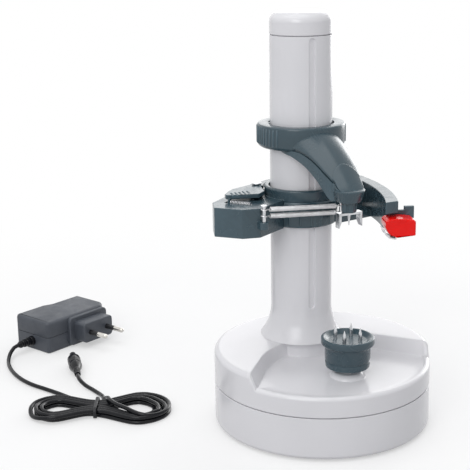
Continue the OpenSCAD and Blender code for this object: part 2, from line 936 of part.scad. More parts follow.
module food_fork() {
    color(steel)
        translate([0, -food_y, 0]) {
            translate([-8.6, -2.6, hub_z0 - 1.6])
                cube([17.2, 5.2, 1.6]);
            for (s = [-1, 1])
                translate([s * 7.7, 0, 0])
                    rotate([90, 0, 0])
                        translate([0, 0, -2.6])
                            linear_extrude(height = 5.2)
                                polygon([[-0.9, hub_z0 - 1.6], [0.9, hub_z0 - 1.6],
                                    [0.9, fork_tip_z + 4], [s * 0.9, fork_tip_z],
                                    [-0.9, fork_tip_z + 4]]);
            translate([0, 0, fork_tip_z + 1])
                cylinder(r1 = 0.2, r2 = 1.2, h = hub_z0 - 2.6 - fork_tip_z, $fn = 24);
        }
}

module release_button() {
    z0 = holder_top - holder_h;
    color(teal)
        translate([-3.6, column_y + holder_r - 1.1, z0 + 3.9])
            difference() {
                cube([19, 5, 7.8]);
                translate([16.6, -1, -1])
                    rotate([0, 0, 0])
                        cube([1, 1.6, 10]);
            }
}

module release_spring() {
    z0 = holder_top - holder_h;
    color(steel)
        translate([-8.4, column_y + holder_r + 1.4, z0 + 7.8])
            rotate([0, 90, 0])
                ring(2, 1.4, 4.7);
}

// ---------- peeling carriage ----------

module grip_plan(inset) {
    polygon([[-72 + inset, 18 + inset * 0.4], [-58 + inset * 0.5, 3.5 + inset],
        [-46 - inset * 0.4, 1 + inset], [-21 - inset, 16 + inset * 0.4],
        [-20 - inset, 44 - inset], [-37, 46.5 - inset], [-52 + inset * 0.4, 44.5 - inset],
        [-67 + inset, 32]]);
}

module carriage_body() {
    z0 = carriage_z;
    z1 = carriage_z + carriage_h;
    color(teal)
        difference() {
            union() {
                // collar with a shoulder band
                translate([0, column_y, 0])
                    rotate_extrude($fn = 96)
                        polygon([[0, z0], [carriage_r - 0.9, z0], [carriage_r - 0.2, z0 + 1],
                            [carriage_r - 0.2, z0 + 16.6], [carriage_r - 0.9, z0 + 17.2],
                            [carriage_r - 0.9, z0 + 18], [carriage_r, z0 + 18.6],
                            [carriage_r, z1 - 0.8], [carriage_r - 0.8, z1], [0, z1]]);
                // grip block
                difference() {
                    translate([0, 0, z0 - 0.5])
                        linear_extrude(height = block_top - z0 + 0.5)
                            grip_plan(0);
                    difference() {
                        translate([0, 0, z0 - 2])
                            linear_extrude(height = block_top - z0 - 0.4)
                                grip_plan(2.4);
                        translate([lever_pivot[0], lever_pivot[1], 0])
                            cylinder(r = 5.4, h = 300);
                    }
                    // channel of the return spring
                    at_return()
                        translate([0, 0, -3.4])
                            cylinder(r = 1.9, h = 3.4 + return_l, $fn = 32);
                }
                // pad under the release lever
                translate([lever_pivot[0], lever_pivot[1], z0])
                    cylinder(r = 5.4, h = lever_z - 0.3 - z0, $fn = 48);
                // ear of the peeling arm
                difference() {
                    translate([0, 0, z0 + 8.6])
                        linear_extrude(height = 11)
                            union() {
                                polygon([[20, column_y - 10], [arm_pivot[0], arm_pivot[1] - 6.5],
                                    [arm_pivot[0], arm_pivot[1] + 6.5], [20, column_y + 10]]);
                                translate(arm_pivot)
                                    circle(r = 6.5, $fn = 48);
                            }
                    translate([arm_pivot[0], arm_pivot[1], z0])
                        cylinder(r = 2.5, h = 30, $fn = 40);
                }
                // lug of the spring pin
                translate([pin_left[0], pin_left[1], z0 + 6]) {
                    cylinder(r = 3.2, h = 5, $fn = 32);
                    translate([-3.2, 0, 0])
                        cube([6.4, 6, 5]);
                }
                // ribs of the lower collar
                for (i = [0 : 5])
                    translate([0, column_y, z0 + 1.4])
                        rotate([0, 0, 224 + 17 * i])
                            translate([carriage_r - 0.3, 0, 0])
                                cylinder(r = 0.7, h = 14, $fn = 16);
            }
            translate([0, column_y, z0 - 2])
                cylinder(r = collar_bore, h = carriage_h + 4, $fn = 96);
            // rear window of the nut carrier
            translate([-6, column_y + 10, lever_z - 0.6])
                cube([12, 20, 12]);
            // notch in the upper ring
            rotate([0, 0, 0])
                translate([7, column_y - carriage_r - 1, z1 - 2.4])
                    cube([2.6, 5, 4]);
            // hole of the lever pin and of the spring pin
            translate([lever_pivot[0], lever_pivot[1], lever_z - 12])
                cylinder(r = 1.6, h = 20, $fn = 32);
            translate([pin_left[0], pin_left[1], z0 + 5])
                cylinder(r = 1.2, h = 8, $fn = 24);
        }
    color(teal)
        translate([0, column_y, 0])
            intersection() {
                translate([0, 0, z0])
                    ring(collar_bore + 0.4, column_r + gap, carriage_h - 2);
                union() {
                    for (a = [20, 160])
                        rotate([0, 0, a])
                            translate([column_r - 2, -3, z0 + 3])
                                cube([6, 6, carriage_h - 5.4]);
                }
            }
    // guide key, above the groove's lower end at the bottom of the travel
    color(teal)
        translate([groove_x, column_y, z0 + 10])
            translate([-1.9, -collar_bore - 0.6, 0])
                cube([3.8, 2.5, carriage_h - 14]);
}

module pivot_pins() {
    z0 = carriage_z;
    color(steel) {
        translate([lever_pivot[0], lever_pivot[1], lever_z - 12]) {
            cylinder(r = 1.6, h = 12 + lever_t + 0.3, $fn = 32);
            translate([0, 0, 12 + lever_t + 0.3])
                cylinder(r = 3.4, h = 1.2, $fn = 32);
        }
        translate([arm_pivot[0], arm_pivot[1], z0 + 2.2])
            cylinder(r = 2.5, h = arm_top - z0 - 2.2 - 1.3, $fn = 40);
    }
}

module spring_pin() {
    color(steel)
        translate([pin_left[0], pin_left[1], carriage_z + 6]) {
            cylinder(r = 1.2, h = 16.4, $fn = 24);
            translate([0, 0, 15.4])
                cylinder(r = 2.2, h = 1, $fn = 24);
        }
}

// start of the return spring, looking along it
module at_return() {
    translate([return_at[0], return_at[1], block_top + 0.1])
        rotate([0, 0, return_turn])
            rotate([0, 90, 0])
                children();
}

module lever_return() {
    color(steel)
        at_return()
            translate([0, 0, 0.2])
                ring(1.6, 1.1, return_l - 0.4);
}

module release_lever() {
    in_r = carriage_r + 1.4;
    color(teal)
        translate([0, 0, lever_z])
            difference() {
                linear_extrude(height = lever_t)
                    union() {
                        // thumb plate
                        polygon([[-27, 52], [-33, 49.5], [-47, 43.5], [-52.5, 38.5],
                            [-58, 31.5], [-58.4, 28.6], [-56, 27], [-37, 21.5], [-29.5, 28],
                            [-25.5, 42]]);
                        translate(lever_pivot)
                            circle(r = 4.9, $fn = 48);
                        // curved carrier behind the collar
                        translate([0, column_y])
                            intersection() {
                                difference() {
                                    circle(r = in_r + 4.7, $fn = 96);
                                    circle(r = in_r, $fn = 96);
                                }
                                polygon([[3.4, 0], [3.4, 60], [-30, 40], [-34, 17]]);
                            }
                        translate([-3.4, column_y + 8])
                            square([6.8, in_r - 5]);
                    }
                translate([lever_pivot[0], lever_pivot[1], -1])
                    cylinder(r = 1.6 + run, h = 10, $fn = 32);
                // grip grooves of the thumb plate
                for (i = [0 : 4])
                    translate([-55 + 3 * i, 25, lever_t - 0.5])
                        rotate([0, 0, -12])
                            cube([0.9, 8.4, 1]);
            }
    // tab against the return spring
    color(teal)
        at_return()
            translate([-(lever_z - block_top + 0.3), -1.3, -1.6])
                cube([lever_z - block_top + 1.4, 2.6, 1.6]);
}

module half_nut() {
    color(brass)
        translate([0, column_y, lever_z - 7])
            difference() {
                // its lips end short of the middle, so that it swings clear of the screw
                translate([-7, 2.4, 0])
                    cube([14, 10.6, 17]);
                translate([0, 0, -1])
                    cylinder(r = 5.35, h = 20, $fn = 48);
                // seat of the carrier
                translate([-3.4, 8, 7])
                    cube([6.8, 10, lever_t]);
            }
}

module arm_band(r1, r0, y0, y1) {
    intersection() {
        translate(arc_c)
            difference() {
                circle(r = r1, $fn = 360);
                circle(r = r0, $fn = 360);
            }
        translate([10, y0])
            square([80, y1 - y0]);
    }
}

module peeling_arm() {
    z0 = carriage_z;
    color(teal)
        difference() {
            union() {
                // tall wall beside the food
                translate([0, 0, z0 + 4])
                    linear_extrude(height = arm_top - z0 - 4)
                        arm_band(arc_r, arc_r - arm_wall, -30, 30);
                // slim tongue over the blade holder
                translate([0, 0, arm_top - 8])
                    linear_extrude(height = 8)
                        arm_band(arc_r, arc_r - arm_wall, blade_y, -28);
                // hub plates above and below the carriage ear
                translate([arm_pivot[0], arm_pivot[1], z0 + 4])
                    cylinder(r = 7.6, h = arm_top - z0 - 4, $fn = 56);
                // web with the spring lug
                translate([0, 0, z0 + 4])
                    linear_extrude(height = 4.1)
                        union() {
                            polygon([[44, 20], [44, 2], [14.5, -3.8], [12, 2.2]]);
                            translate(pin_right)
                                circle(r = 3.4, $fn = 40);
                        }
            }
            // room for the ear
            difference() {
                translate([0, 0, z0 + 8.3])
                    linear_extrude(height = 11.6)
                        union() {
                            translate(arm_pivot)
                                circle(r = 9.4, $fn = 56);
                            polygon([[10, 50], [10, 8], [arm_pivot[0], arm_pivot[1] - 9.4],
                                [arm_pivot[0] + 2, arm_pivot[1] + 9.4]]);
                        }
            }
            translate([arm_pivot[0], arm_pivot[1], z0])
                cylinder(r = 2.5 + run, h = arm_top - z0 - 1, $fn = 40);
            translate([pin_right[0], pin_right[1], z0])
                cylinder(r = 1.2, h = 20, $fn = 24);
            // rounded tip of the tongue
            translate([blade_at[0] - 12, blade_at[1] - 10, arm_top - 20])
                rotate([0, 0, -14])
                    cube([40, 8.4, 40]);
        }
}

module arm_spring_pin() {
    color(steel)
        translate([pin_right[0], pin_right[1], carriage_z + 4]) {
            cylinder(r = 1.2, h = 14.6, $fn = 24);
            translate([0, 0, 13.6])
                cylinder(r = 2.2, h = 1, $fn = 24);
        }
}

// tension spring with a loop round each pin, the coil drawn as its body
module tension_spring(p0, z0, p1, z1) {
    flat = [p1[0] - p0[0], p1[1] - p0[1]];
    run_l = norm(flat);
    tilt = atan2(z0 - z1, run_l);
    l = norm([run_l, z0 - z1]);
    color(steel)
        translate([p0[0], p0[1], z0])
            rotate([0, tilt, atan2(flat[1], flat[0])]) {
                translate([4, 0, 0])
                    rotate([0, 90, 0])
                        cylinder(r = 1.7, h = l - 8, $fn = 32);
                for (x = [2, l - 4])
                    translate([x, 0, 0])
                        rotate([0, 90, 0])
                            cylinder(r = 0.45, h = 2, $fn = 16);
                for (x = [0, l])
                    translate([x, 0, 0])
                        rotate_extrude($fn = 32)
                            translate([1.85, 0])
                                circle(r = 0.45, $fn = 16);
            }
}

module tension_spring_upper() {
    tension_spring(pin_left, carriage_z + 19.4, pin_right, carriage_z + 15);
}

module tension_spring_lower() {
    tension_spring(pin_left, carriage_z + 15, pin_right, carriage_z + 10.6);
}

// ---------- blade ----------

module at_blade() {
    translate([blade_at[0], blade_at[1], blade_z])
        rotate([0, 0, blade_turn])
            children();
}

module blade_bracket() {
    color(teal)
        at_blade()
            translate([0, 10.4, 0])
                rotate([90, 0, 0])
                    difference() {
                        linear_extrude(height = 3)
                            polygon([[-5, -3], [6, -3], [12, 1.5], [12, 9.5], [5.5, 9.5],
                                [5.5, arm_top - 8 - blade_z], [-5, arm_top - 8 - blade_z]]);
                        translate([0, 0, -1])
                            cylinder(r = 1.4, h = 5, $fn = 32);
                    }
}

module blade_pin() {
    color(steel)
        at_blade()
            translate([0, 10.8, 0])
                rotate([90, 0, 0])
                    cylinder(r = 1.4, h = 14, $fn = 32);
}

// side outline of the blade strip, which hooks round the lower edge of the holder
module blade_side() {
    polygon([[-3.2, -6], [-3.2, -8.5], [-6.8, -7.8], [-9.1, -5.7], [-10.3, -2.4], [-11, -2.6],
        [-9.8, -6.2], [-7.2, -8.6], [-3.6, -9.4], [-2.4, -9.4], [-2.4, -6]]);
}

module blade_holder() {
    w = holder_w / 2;
    color(red)
        at_blade()
            difference() {
                rotate([90, 0, 0])
                    translate([0, 0, -7])
                        linear_extrude(height = 14)
                            polygon([[-w, -0.6], [-w + 1.6, -4.4], [-w + 3.8, -6.4],
                                [-w + 6.6, -7.4], [w, -7], [w, 2.4], [w - 1, 3.6], [1, 4.6],
                                [-w + 2, 4.4], [-w, 2.8]]);
                translate([0, 20, 0])
                    rotate([90, 0, 0])
                        cylinder(r = 1.4 + run, h = 24.2, $fn = 32);
                translate([-3.2, -5.5, -9])
                    cube([0.8, 11, 3]);
            }
}

module peeling_blade() {
    color(steel)
        at_blade()
            difference() {
                translate([0, 5.5, 0])
                    rotate([90, 0, 0])
                        linear_extrude(height = 11)
                            blade_side();
                translate([-10.6, -3.6, -9])
                    cube([4.4, 7.2, 5]);
            }
}

// ---------- adapter and lead ----------

module at_adapter() {
    translate([adapter_at[0], adapter_at[1], 0])
        rotate([0, 0, adapter_turn])
            children();
}

// plan outline, wider towards the lead end
module case_plan(inset) {
    l = case_l / 2 - inset;
    w = case_w / 2 - inset;
    polygon([[-l + 2, -w], [l - 6, -w], [l, -w + 6], [l, w - 5], [l - 2, w - 3],
        [4, w - 3], [-4, w], [-l + 2, w], [-l, w - 2], [-l, -w + 2]]);
}

module adapter_top() {
    color(slate)
        at_adapter()
            difference() {
                union() {
                    translate([0, 0, case_t * 0.5])
                        linear_extrude(height = case_t * 0.5 - 1.4)
                            case_plan(0);
                    translate([0, 0, case_t * 0.5])
                        translate([0, 0, 4])
                            linear_extrude(height = case_t * 0.5 - 4)
                                case_plan(1.2);
                }
                // seam line between the halves
                translate([0, 0, case_t * 0.5])
                    linear_extrude(height = 0.6)
                        difference() {
                            case_plan(-1);
                            case_plan(0.5);
                        }
            }
}

module adapter_bottom() {
    color(slate)
        at_adapter()
            difference() {
                union() {
                    translate([0, 0, 1.4])
                        linear_extrude(height = case_t * 0.5 - 1.4)
                            case_plan(0);
                    linear_extrude(height = 3)
                        case_plan(1.2);
                }
                translate([-case_l / 2 - 5, 0, 8])
                    rotate([0, 90, 0])
                        cylinder(r = 4, h = 8, $fn = 32);
            }
}

module plug_block() {
    color(slate)
        at_adapter()
            translate([9, -case_w / 2, case_t / 2])
                rotate([90, 0, 0])
                    difference() {
                        union() {
                            linear_extrude(height = 3)
                                rounded_square(42, 24, 4);
                            translate([0, 0, 3])
                                linear_extrude(height = 12)
                                    rounded_square(32, 17, 3);
                        }
                        for (s = [-1, 1])
                            translate([s * mains_pitch / 2, 0, 6])
                                cylinder(r = mains_pin_r, h = 20, $fn = 32);
                    }
}

module plug_pins() {
    color(steel)
        at_adapter()
            translate([9, -case_w / 2 - 6, case_t / 2])
                rotate([90, 0, 0])
                    for (s = [-1, 1])
                        translate([s * mains_pitch / 2, 0, 0]) {
                            cylinder(r = mains_pin_r, h = 26.4, $fn = 32);
                            translate([0, 0, 26.4])
                                cylinder(r1 = mains_pin_r, r2 = 1.1, h = 1.6, $fn = 32);
                        }
}

module adapter_relief() {
    color(black)
        at_adapter()
            translate([-case_l / 2 + 3, 0, 8])
                rotate([0, -90, 0]) {
                    cylinder(r = 4, h = 6, $fn = 32);
                    for (i = [0 : 2])
                        translate([0, 0, 6 + 4 * i])
                            cylinder(r = 3.6 - 0.4 * i, h = 2.6, $fn = 32);
                    translate([0, 0, 6])
                        cylinder(r = 2.3, h = 12, $fn = 32);
                }
}

module supply_lead() {
    color(black)
        lead_tube(route_a, lead_d / 2, 8);
}

module plug_lead() {
    color(black)
        lead_tube(route_b, lead_d / 2, 8);
}

module at_hank() {
    translate([hank_at[0], hank_at[1], 0])
        rotate([0, 0, hank_turn])
            children();
}

module hank_body() {
    translate([-31, 0, 0])
        cylinder(r = 20, h = hank_h, $fn = 64);
    translate([29, 0, 0])
        cylinder(r = 23, h = hank_h, $fn = 64);
    linear_extrude(height = hank_h)
        polygon([[-28, 19], [-8, 11], [4, 11], [24, 21.5], [24, -21.5], [4, -11], [-8, -11],
            [-28, -19]]);
}

module lead_hank() {
    color(black)
        at_hank()
            hank_body();
}

module hank_tie() {
    color(black)
        at_hank()
            translate([-2, 0, 0])
                difference() {
                    translate([-1.5, -12.2, 0])
                        cube([3, 24.4, hank_h + 1.2]);
                    translate([-5, -11, -1])
                        cube([10, 22, hank_h + 1]);
                }
}

module at_plug() {
    translate(grip_at)
        rotate([0, 0, grip_turn])
            rotate([0, 90, 0])
                children();
}

module dc_plug_grip() {
    color(black)
        at_plug() {
            rotate_extrude($fn = 40)
                polygon([[0, -22], [2, -22], [2.4, -11], [3.4, -10], [5.2, -3], [5.2, 12],
                    [4.6, 13], [2.75, 13], [2.75, 11], [0, 11]]);
            for (i = [0 : 2])
                translate([0, 0, -20 + 3.4 * i])
                    cylinder(r = 2.8 + 0.3 * i, h = 1.8, $fn = 32);
        }
}

module dc_plug_barrel() {
    color(steel)
        at_plug()
            translate([0, 0, 11])
                difference() {
                    cylinder(r = 2.75, h = 11.5, $fn = 40);
                    translate([0, 0, 3])
                        cylinder(r = 1.05, h = 10, $fn = 32);
                }
}

// ---------- output ----------

base_bottom_shell();
base_top_shell();
rubber_feet();
base_screws();
gearbox_plate();
plate_screws();
gear_axles();
motor_can();
motor_pinion();
compound_gear();
idler_gear();
screw_gear();
lead_screw();
cup_gear();
cup_spindle();
food_cup();
cup_spikes();
dc_jack();
start_switch();
start_button();
button_spring();
column_tube();
column_cap();
screw_bush();
limit_switch();
limit_lever();
upper_holder();
spindle_bush();
upper_spindle();
spindle_hub();
food_fork();
release_button();
release_spring();
carriage_body();
pivot_pins();
spring_pin();
lever_return();
release_lever();
half_nut();
peeling_arm();
arm_spring_pin();
tension_spring_upper();
tension_spring_lower();
blade_bracket();
blade_pin();
blade_holder();
peeling_blade();
adapter_top();
adapter_bottom();
plug_block();
plug_pins();
adapter_relief();
supply_lead();
lead_hank();
hank_tie();
plug_lead();
dc_plug_grip();
dc_plug_barrel();
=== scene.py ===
"""Electric potato peeler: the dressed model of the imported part, laid out as an add-on."""

import json
import math

import bmesh
import bpy
from bpy.props import FloatProperty, FloatVectorProperty, IntProperty, PointerProperty
from mathutils import Euler, Matrix, Vector

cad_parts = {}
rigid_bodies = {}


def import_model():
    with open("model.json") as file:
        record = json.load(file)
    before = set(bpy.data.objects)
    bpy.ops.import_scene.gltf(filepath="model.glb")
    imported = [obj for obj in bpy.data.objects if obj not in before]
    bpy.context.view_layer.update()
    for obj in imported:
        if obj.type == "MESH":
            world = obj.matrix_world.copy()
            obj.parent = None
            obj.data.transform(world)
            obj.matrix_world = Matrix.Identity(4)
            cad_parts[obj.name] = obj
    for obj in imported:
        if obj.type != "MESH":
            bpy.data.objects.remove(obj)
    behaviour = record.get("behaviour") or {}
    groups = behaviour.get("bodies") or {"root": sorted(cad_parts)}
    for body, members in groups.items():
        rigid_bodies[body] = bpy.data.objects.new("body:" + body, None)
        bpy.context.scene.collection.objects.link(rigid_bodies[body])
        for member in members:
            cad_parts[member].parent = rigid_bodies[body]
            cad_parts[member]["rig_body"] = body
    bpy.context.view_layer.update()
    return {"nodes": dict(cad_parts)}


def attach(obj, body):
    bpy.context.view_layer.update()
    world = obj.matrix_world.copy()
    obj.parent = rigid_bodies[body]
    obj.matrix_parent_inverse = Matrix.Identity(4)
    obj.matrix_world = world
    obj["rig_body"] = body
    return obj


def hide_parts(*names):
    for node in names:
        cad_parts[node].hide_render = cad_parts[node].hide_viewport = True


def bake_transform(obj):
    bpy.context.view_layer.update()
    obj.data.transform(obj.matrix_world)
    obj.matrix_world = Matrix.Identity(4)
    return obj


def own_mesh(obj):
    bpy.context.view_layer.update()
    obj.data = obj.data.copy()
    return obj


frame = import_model()

bl_info = {
    "name": "Potato peeler",
    "version": (1, 0, 0),
    "blender": (4, 5, 0),
    "location": "3D View > Sidebar > Peeler",
    "description": "Builds the outer pieces, finishes, lead and stage of an electric potato peeler",
    "category": "Object",
}

MM = 0.001

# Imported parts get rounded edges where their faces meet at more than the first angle, and are
# shaded smooth up to the second, both in degrees.
ROUNDED_FROM = 33.0
SMOOTH_TO = 40.0

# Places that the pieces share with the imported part, in millimetres.
COLUMN_Y = 30.5
FOOD_Y = -36.0
HANK_AT = (-140.0, 76.0)
HANK_TURN = math.radians(-24.5)
ADAPTER_AT = (-118.0, 240.0)
ADAPTER_TURN = math.radians(25.5)
PLUG_AT = (-131.0, 163.0, 5.2)
PLUG_TURN = math.radians(78.0)

# Route of the lead between the adapter and the hank, and from the hank to the plug.
ROUTE_IN = [
    (-161.8, 219.1, 8.0), (-165.8, 217.0, 7.4), (-170.8, 211.5, 4.6), (-174.8, 201.5, 2.2),
    (-176.8, 189.0, 2.0), (-177.0, 175.0, 2.0), (-175.0, 160.0, 2.0), (-170.6, 146.0, 2.0),
    (-164.6, 134.0, 2.0), (-158.4, 121.5, 2.0), (-153.2, 109.0, 2.2), (-148.8, 97.7, 2.6),
]
ROUTE_OUT = [
    (-134.0, 85.6, 4.2), (-131.6, 90.8, 3.8), (-130.2, 97.0, 2.8), (-130.2, 105.0, 2.0),
    (-132.2, 115.0, 2.0), (-134.8, 124.0, 2.6), (-136.6, 132.0, 4.2), (-136.4, 137.6, 5.1),
    (-135.6, 141.5, 5.2),
]


# ---------- settings that a user changes ----------


class PeelerSizes(bpy.types.PropertyGroup):
    """Sizes of the finish and of the pieces that repeat."""

    edge_rounding: FloatProperty(
        name="Edge rounding", description="Share of each part's own edge radius",
        default=1.0, min=0.0, max=1.2, subtype="FACTOR",
    )
    lead_diameter: FloatProperty(
        name="Lead diameter", description="Outer diameter of the low voltage lead",
        default=3.2 * MM, min=2.0 * MM, max=3.3 * MM, unit="LENGTH", precision=5,
    )
    wire_diameter: FloatProperty(
        name="Spring wire", description="Wire diameter of the two tension springs",
        default=0.8 * MM, min=0.3 * MM, max=0.9 * MM, unit="LENGTH", precision=5,
    )
    thread_pitch: FloatProperty(
        name="Thread pitch", description="Rise of the lead screw's thread in one turn",
        default=3.0 * MM, min=1.5 * MM, max=5.0 * MM, unit="LENGTH", precision=5,
    )
    spike_count: IntProperty(
        name="Cup spikes", description="Number of steel spikes in the food cup", default=4, min=3, max=6,
    )


class PeelerColours(bpy.types.PropertyGroup):
    """Colours of the finishes."""

    shell: FloatVectorProperty(
        name="Shell", description="Base, column and cap", subtype="COLOR", size=3,
        default=(0.78, 0.775, 0.80),
    )
    arm: FloatVectorProperty(
        name="Arms", description="Holder arm, carriage and cup", subtype="COLOR", size=3,
        default=(0.044, 0.078, 0.098),
    )
    blade_grip: FloatVectorProperty(
        name="Blade holder", description="Red blade holder", subtype="COLOR", size=3,
        default=(0.98, 0.004, 0.002),
    )
    case: FloatVectorProperty(
        name="Adapter", description="Adapter case and plug block", subtype="COLOR", size=3,
        default=(0.066, 0.075, 0.092),
    )
    lead: FloatVectorProperty(
        name="Lead", description="Lead, relief, barrel plug and tie", subtype="COLOR", size=3,
        default=(0.006, 0.0065, 0.009),
    )


# ---------- mesh helpers (lengths in millimetres) ----------


def polar(radius, degrees):
    """Point on a circle, in millimetres."""
    a = math.radians(degrees)
    return (radius * math.cos(a), radius * math.sin(a))


def placed(points, at=(0, 0, 0), turn=0.0):
    """Points turned about Z and moved."""
    c, s = math.cos(turn), math.sin(turn)
    return [(at[0] + c * p[0] - s * p[1], at[1] + s * p[0] + c * p[1], at[2] + p[2]) for p in points]


def rounded(outline, radii, steps=5):
    """Closed 2-D outline whose corners are arcs. radii is one number, or one per corner."""
    n = len(outline)
    radii = [radii] * n if isinstance(radii, (int, float)) else radii
    result = []
    for i, corner in enumerate(outline):
        p, q, r = Vector(outline[i - 1]), Vector(corner), Vector(outline[(i + 1) % n])
        to_p, to_r = (p - q), (r - q)
        half = to_p.angle(to_r) / 2
        reach = min(radii[i] / math.tan(half), to_p.length * 0.48, to_r.length * 0.48)
        radius = reach * math.tan(half)
        if radius < 0.02 or half > math.radians(88):
            result.append(tuple(q))
            continue
        start, end = q + to_p.normalized() * reach, q + to_r.normalized() * reach
        centre = q + (to_p.normalized() + to_r.normalized()).normalized() * (radius / math.sin(half))
        a0 = math.atan2(*(start - centre).yx)
        sweep = (math.atan2(*(end - centre).yx) - a0 + math.pi) % (2 * math.pi) - math.pi
        for k in range(steps + 1):
            a = a0 + sweep * k / steps
            result.append((centre.x + radius * math.cos(a), centre.y + radius * math.sin(a)))
    return result


def new_object(name, mesh):
    """Object at the origin, linked to the scene."""
    obj = bpy.data.objects.new(name, mesh)
    bpy.context.scene.collection.objects.link(obj)
    return obj


def smooth_up_to(mesh, degrees):
    """Smooth shading, with sharp edges past an angle."""
    mesh.shade_smooth()
    mesh.set_sharp_from_angle(angle=math.radians(degrees))


def mesh_from(bm, name, sharp=35.0):
    """Closed mesh with outward faces, smooth up to an angle."""
    bmesh.ops.remove_doubles(bm, verts=bm.verts, dist=2e-6)
    bmesh.ops.recalc_face_normals(bm, faces=bm.faces)
    mesh = bpy.data.meshes.new(name)
    bm.to_mesh(mesh)
    bm.free()
    smooth_up_to(mesh, sharp)
    return mesh


def put_in_place(bm, turn, at):
    """Turns a form by a matrix, if there is one, and moves it."""
    if turn is not None:
        bmesh.ops.transform(bm, matrix=turn, verts=bm.verts)
    bmesh.ops.translate(bm, vec=Vector(at) * MM, verts=bm.verts)


def add_rings(bm, rings, closed_ends=True):
    """Skins a list of rings of equally many points, and caps both ends."""
    rows = [[bm.verts.new(Vector(p) * MM) for p in ring] for ring in rings]
    n = len(rows[0])
    for low, high in zip(rows, rows[1:]):
        for k in range(n):
            bm.faces.new((low[k], low[(k + 1) % n], high[(k + 1) % n], high[k]))
    if closed_ends:
        bm.faces.new(rows[0][::-1])
        bm.faces.new(rows[-1])
    return rows


def revolve(name, profile, at=(0, 0, 0), steps=96, turn=None):
    """Body of revolution about Z from (radius, height) points that end on the axis or where they began."""
    bm = bmesh.new()
    rows = []
    for r, z in profile:
        if r < 1e-6:
            rows.append([bm.verts.new(Vector((0, 0, z)) * MM)])
        else:
            rows.append([bm.verts.new(Vector((*polar(r, 360 * k / steps), z)) * MM) for k in range(steps)])
    for low, high in zip(rows, rows[1:]):
        for k in range(steps):
            a, b = low[k % len(low)], low[(k + 1) % len(low)]
            c, d = high[(k + 1) % len(high)], high[k % len(high)]
            corners = [v for i, v in enumerate((a, b, c, d)) if v not in (a, b, c, d)[:i]]
            if len(corners) > 2:
                bm.faces.new(corners)
    put_in_place(bm, turn, at)
    return mesh_from(bm, name)


def inset_ring(outline, distance):
    """Outline moved inwards along the mitres of its corners (counter-clockwise outlines)."""
    result = []
    n = len(outline)
    for i in range(n):
        p, q, r = Vector(outline[i - 1]), Vector(outline[i]), Vector(outline[(i + 1) % n])
        a, b = (q - p).normalized(), (r - q).normalized()
        na, nb = Vector((-a.y, a.x)), Vector((-b.y, b.x))
        m = na + nb
        scale = distance / max(0.3, m.length_squared / 2)
        result.append(tuple(q + m * scale))
    return result


def prism(name, outline, z0, z1, top=0.5, bottom=0.5, steps=3, sharp=35.0, turn=None, at=(0, 0, 0)):
    """Extruded outline whose upper and lower edges are rounded by the given radii."""
    area = sum(p[0] * q[1] - q[0] * p[1] for p, q in zip(outline, outline[1:] + outline[:1]))
    outline = outline if area > 0 else outline[::-1]
    levels = []
    for k in range(steps + 1):
        a = math.pi / 2 * k / steps
        levels.append((bottom * (1 - math.sin(a)), z0 + bottom * (1 - math.cos(a))))
    for k in range(steps + 1):
        a = math.pi / 2 * k / steps
        levels.append((top * (1 - math.cos(a)), z1 - top * (1 - math.sin(a))))
    bm = bmesh.new()
    add_rings(bm, [[(*p, z) for p in inset_ring(outline, d)] for d, z in levels])
    put_in_place(bm, turn, at)
    return mesh_from(bm, name, sharp)


def join_meshes(name, meshes):
    """One mesh out of several closed ones."""
    bm = bmesh.new()
    for mesh in meshes:
        bm.from_mesh(mesh)
        bpy.data.meshes.remove(mesh)
    mesh = bpy.data.meshes.new(name)
    bm.to_mesh(mesh)
    bm.free()
    return mesh


def evaluated(obj, name):
    """Plain mesh of an object with its modifiers applied."""
    bpy.context.view_layer.update()
    graph = bpy.context.evaluated_depsgraph_get()
    mesh = bpy.data.meshes.new_from_object(obj.evaluated_get(graph), depsgraph=graph)
    mesh.name = name
    return mesh


def cut_away(obj, bm, joined):
    """Takes the solid in bm out of an object, which may be several overlapping forms joined."""
    cutter = new_object("cutter", mesh_from(bm, "cutter"))
    modifier = obj.modifiers.new("Cut", "BOOLEAN")
    modifier.operation = "DIFFERENCE"
    modifier.solver = "EXACT"
    modifier.use_self = joined
    modifier.object = cutter
    mesh = evaluated(obj, obj.name)
    obj.modifiers.clear()
    obj.data = mesh
    bpy.data.objects.remove(cutter)


def cut_hole(obj, at, radius, height, turn, joined=False):
    """Round hole with its axis along Z, or turned by a matrix."""
    bm = bmesh.new()
    bmesh.ops.create_cone(bm, cap_ends=True, segments=96, radius1=radius * MM, radius2=radius * MM,
                          depth=height * MM, matrix=Matrix.Translation(Vector(at) * MM) @ turn)
    cut_away(obj, bm, joined)


def cut_box(obj, at, size, joined=False):
    """Square pocket round a middle point."""
    bm = bmesh.new()
    place = Matrix.Translation(Vector(at) * MM) @ Matrix.Diagonal((*size, 1))
    bmesh.ops.create_cube(bm, size=MM, matrix=place)
    cut_away(obj, bm, joined)


def clean_copy(node):
    """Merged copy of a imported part, its flat faces joined up again."""
    bm = bmesh.new()
    bm.from_mesh(frame["nodes"][node].data)
    bmesh.ops.remove_doubles(bm, verts=bm.verts, dist=2e-6)
    bmesh.ops.dissolve_limit(
        bm, angle_limit=math.radians(0.6), use_dissolve_boundaries=False, verts=bm.verts, edges=bm.edges
    )
    return bm


def finish_piece(obj, slot, body, *nodes, finish=None):
    """Finish and body of a piece, and hides the nodes that it stands for.

    A piece given no body is left unparented.
    """
    obj.data.materials.clear()
    obj.data.materials.append(finish_named(finish or slot))
    if body:
        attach(obj, body)
    if nodes:
        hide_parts(*nodes)
    return obj


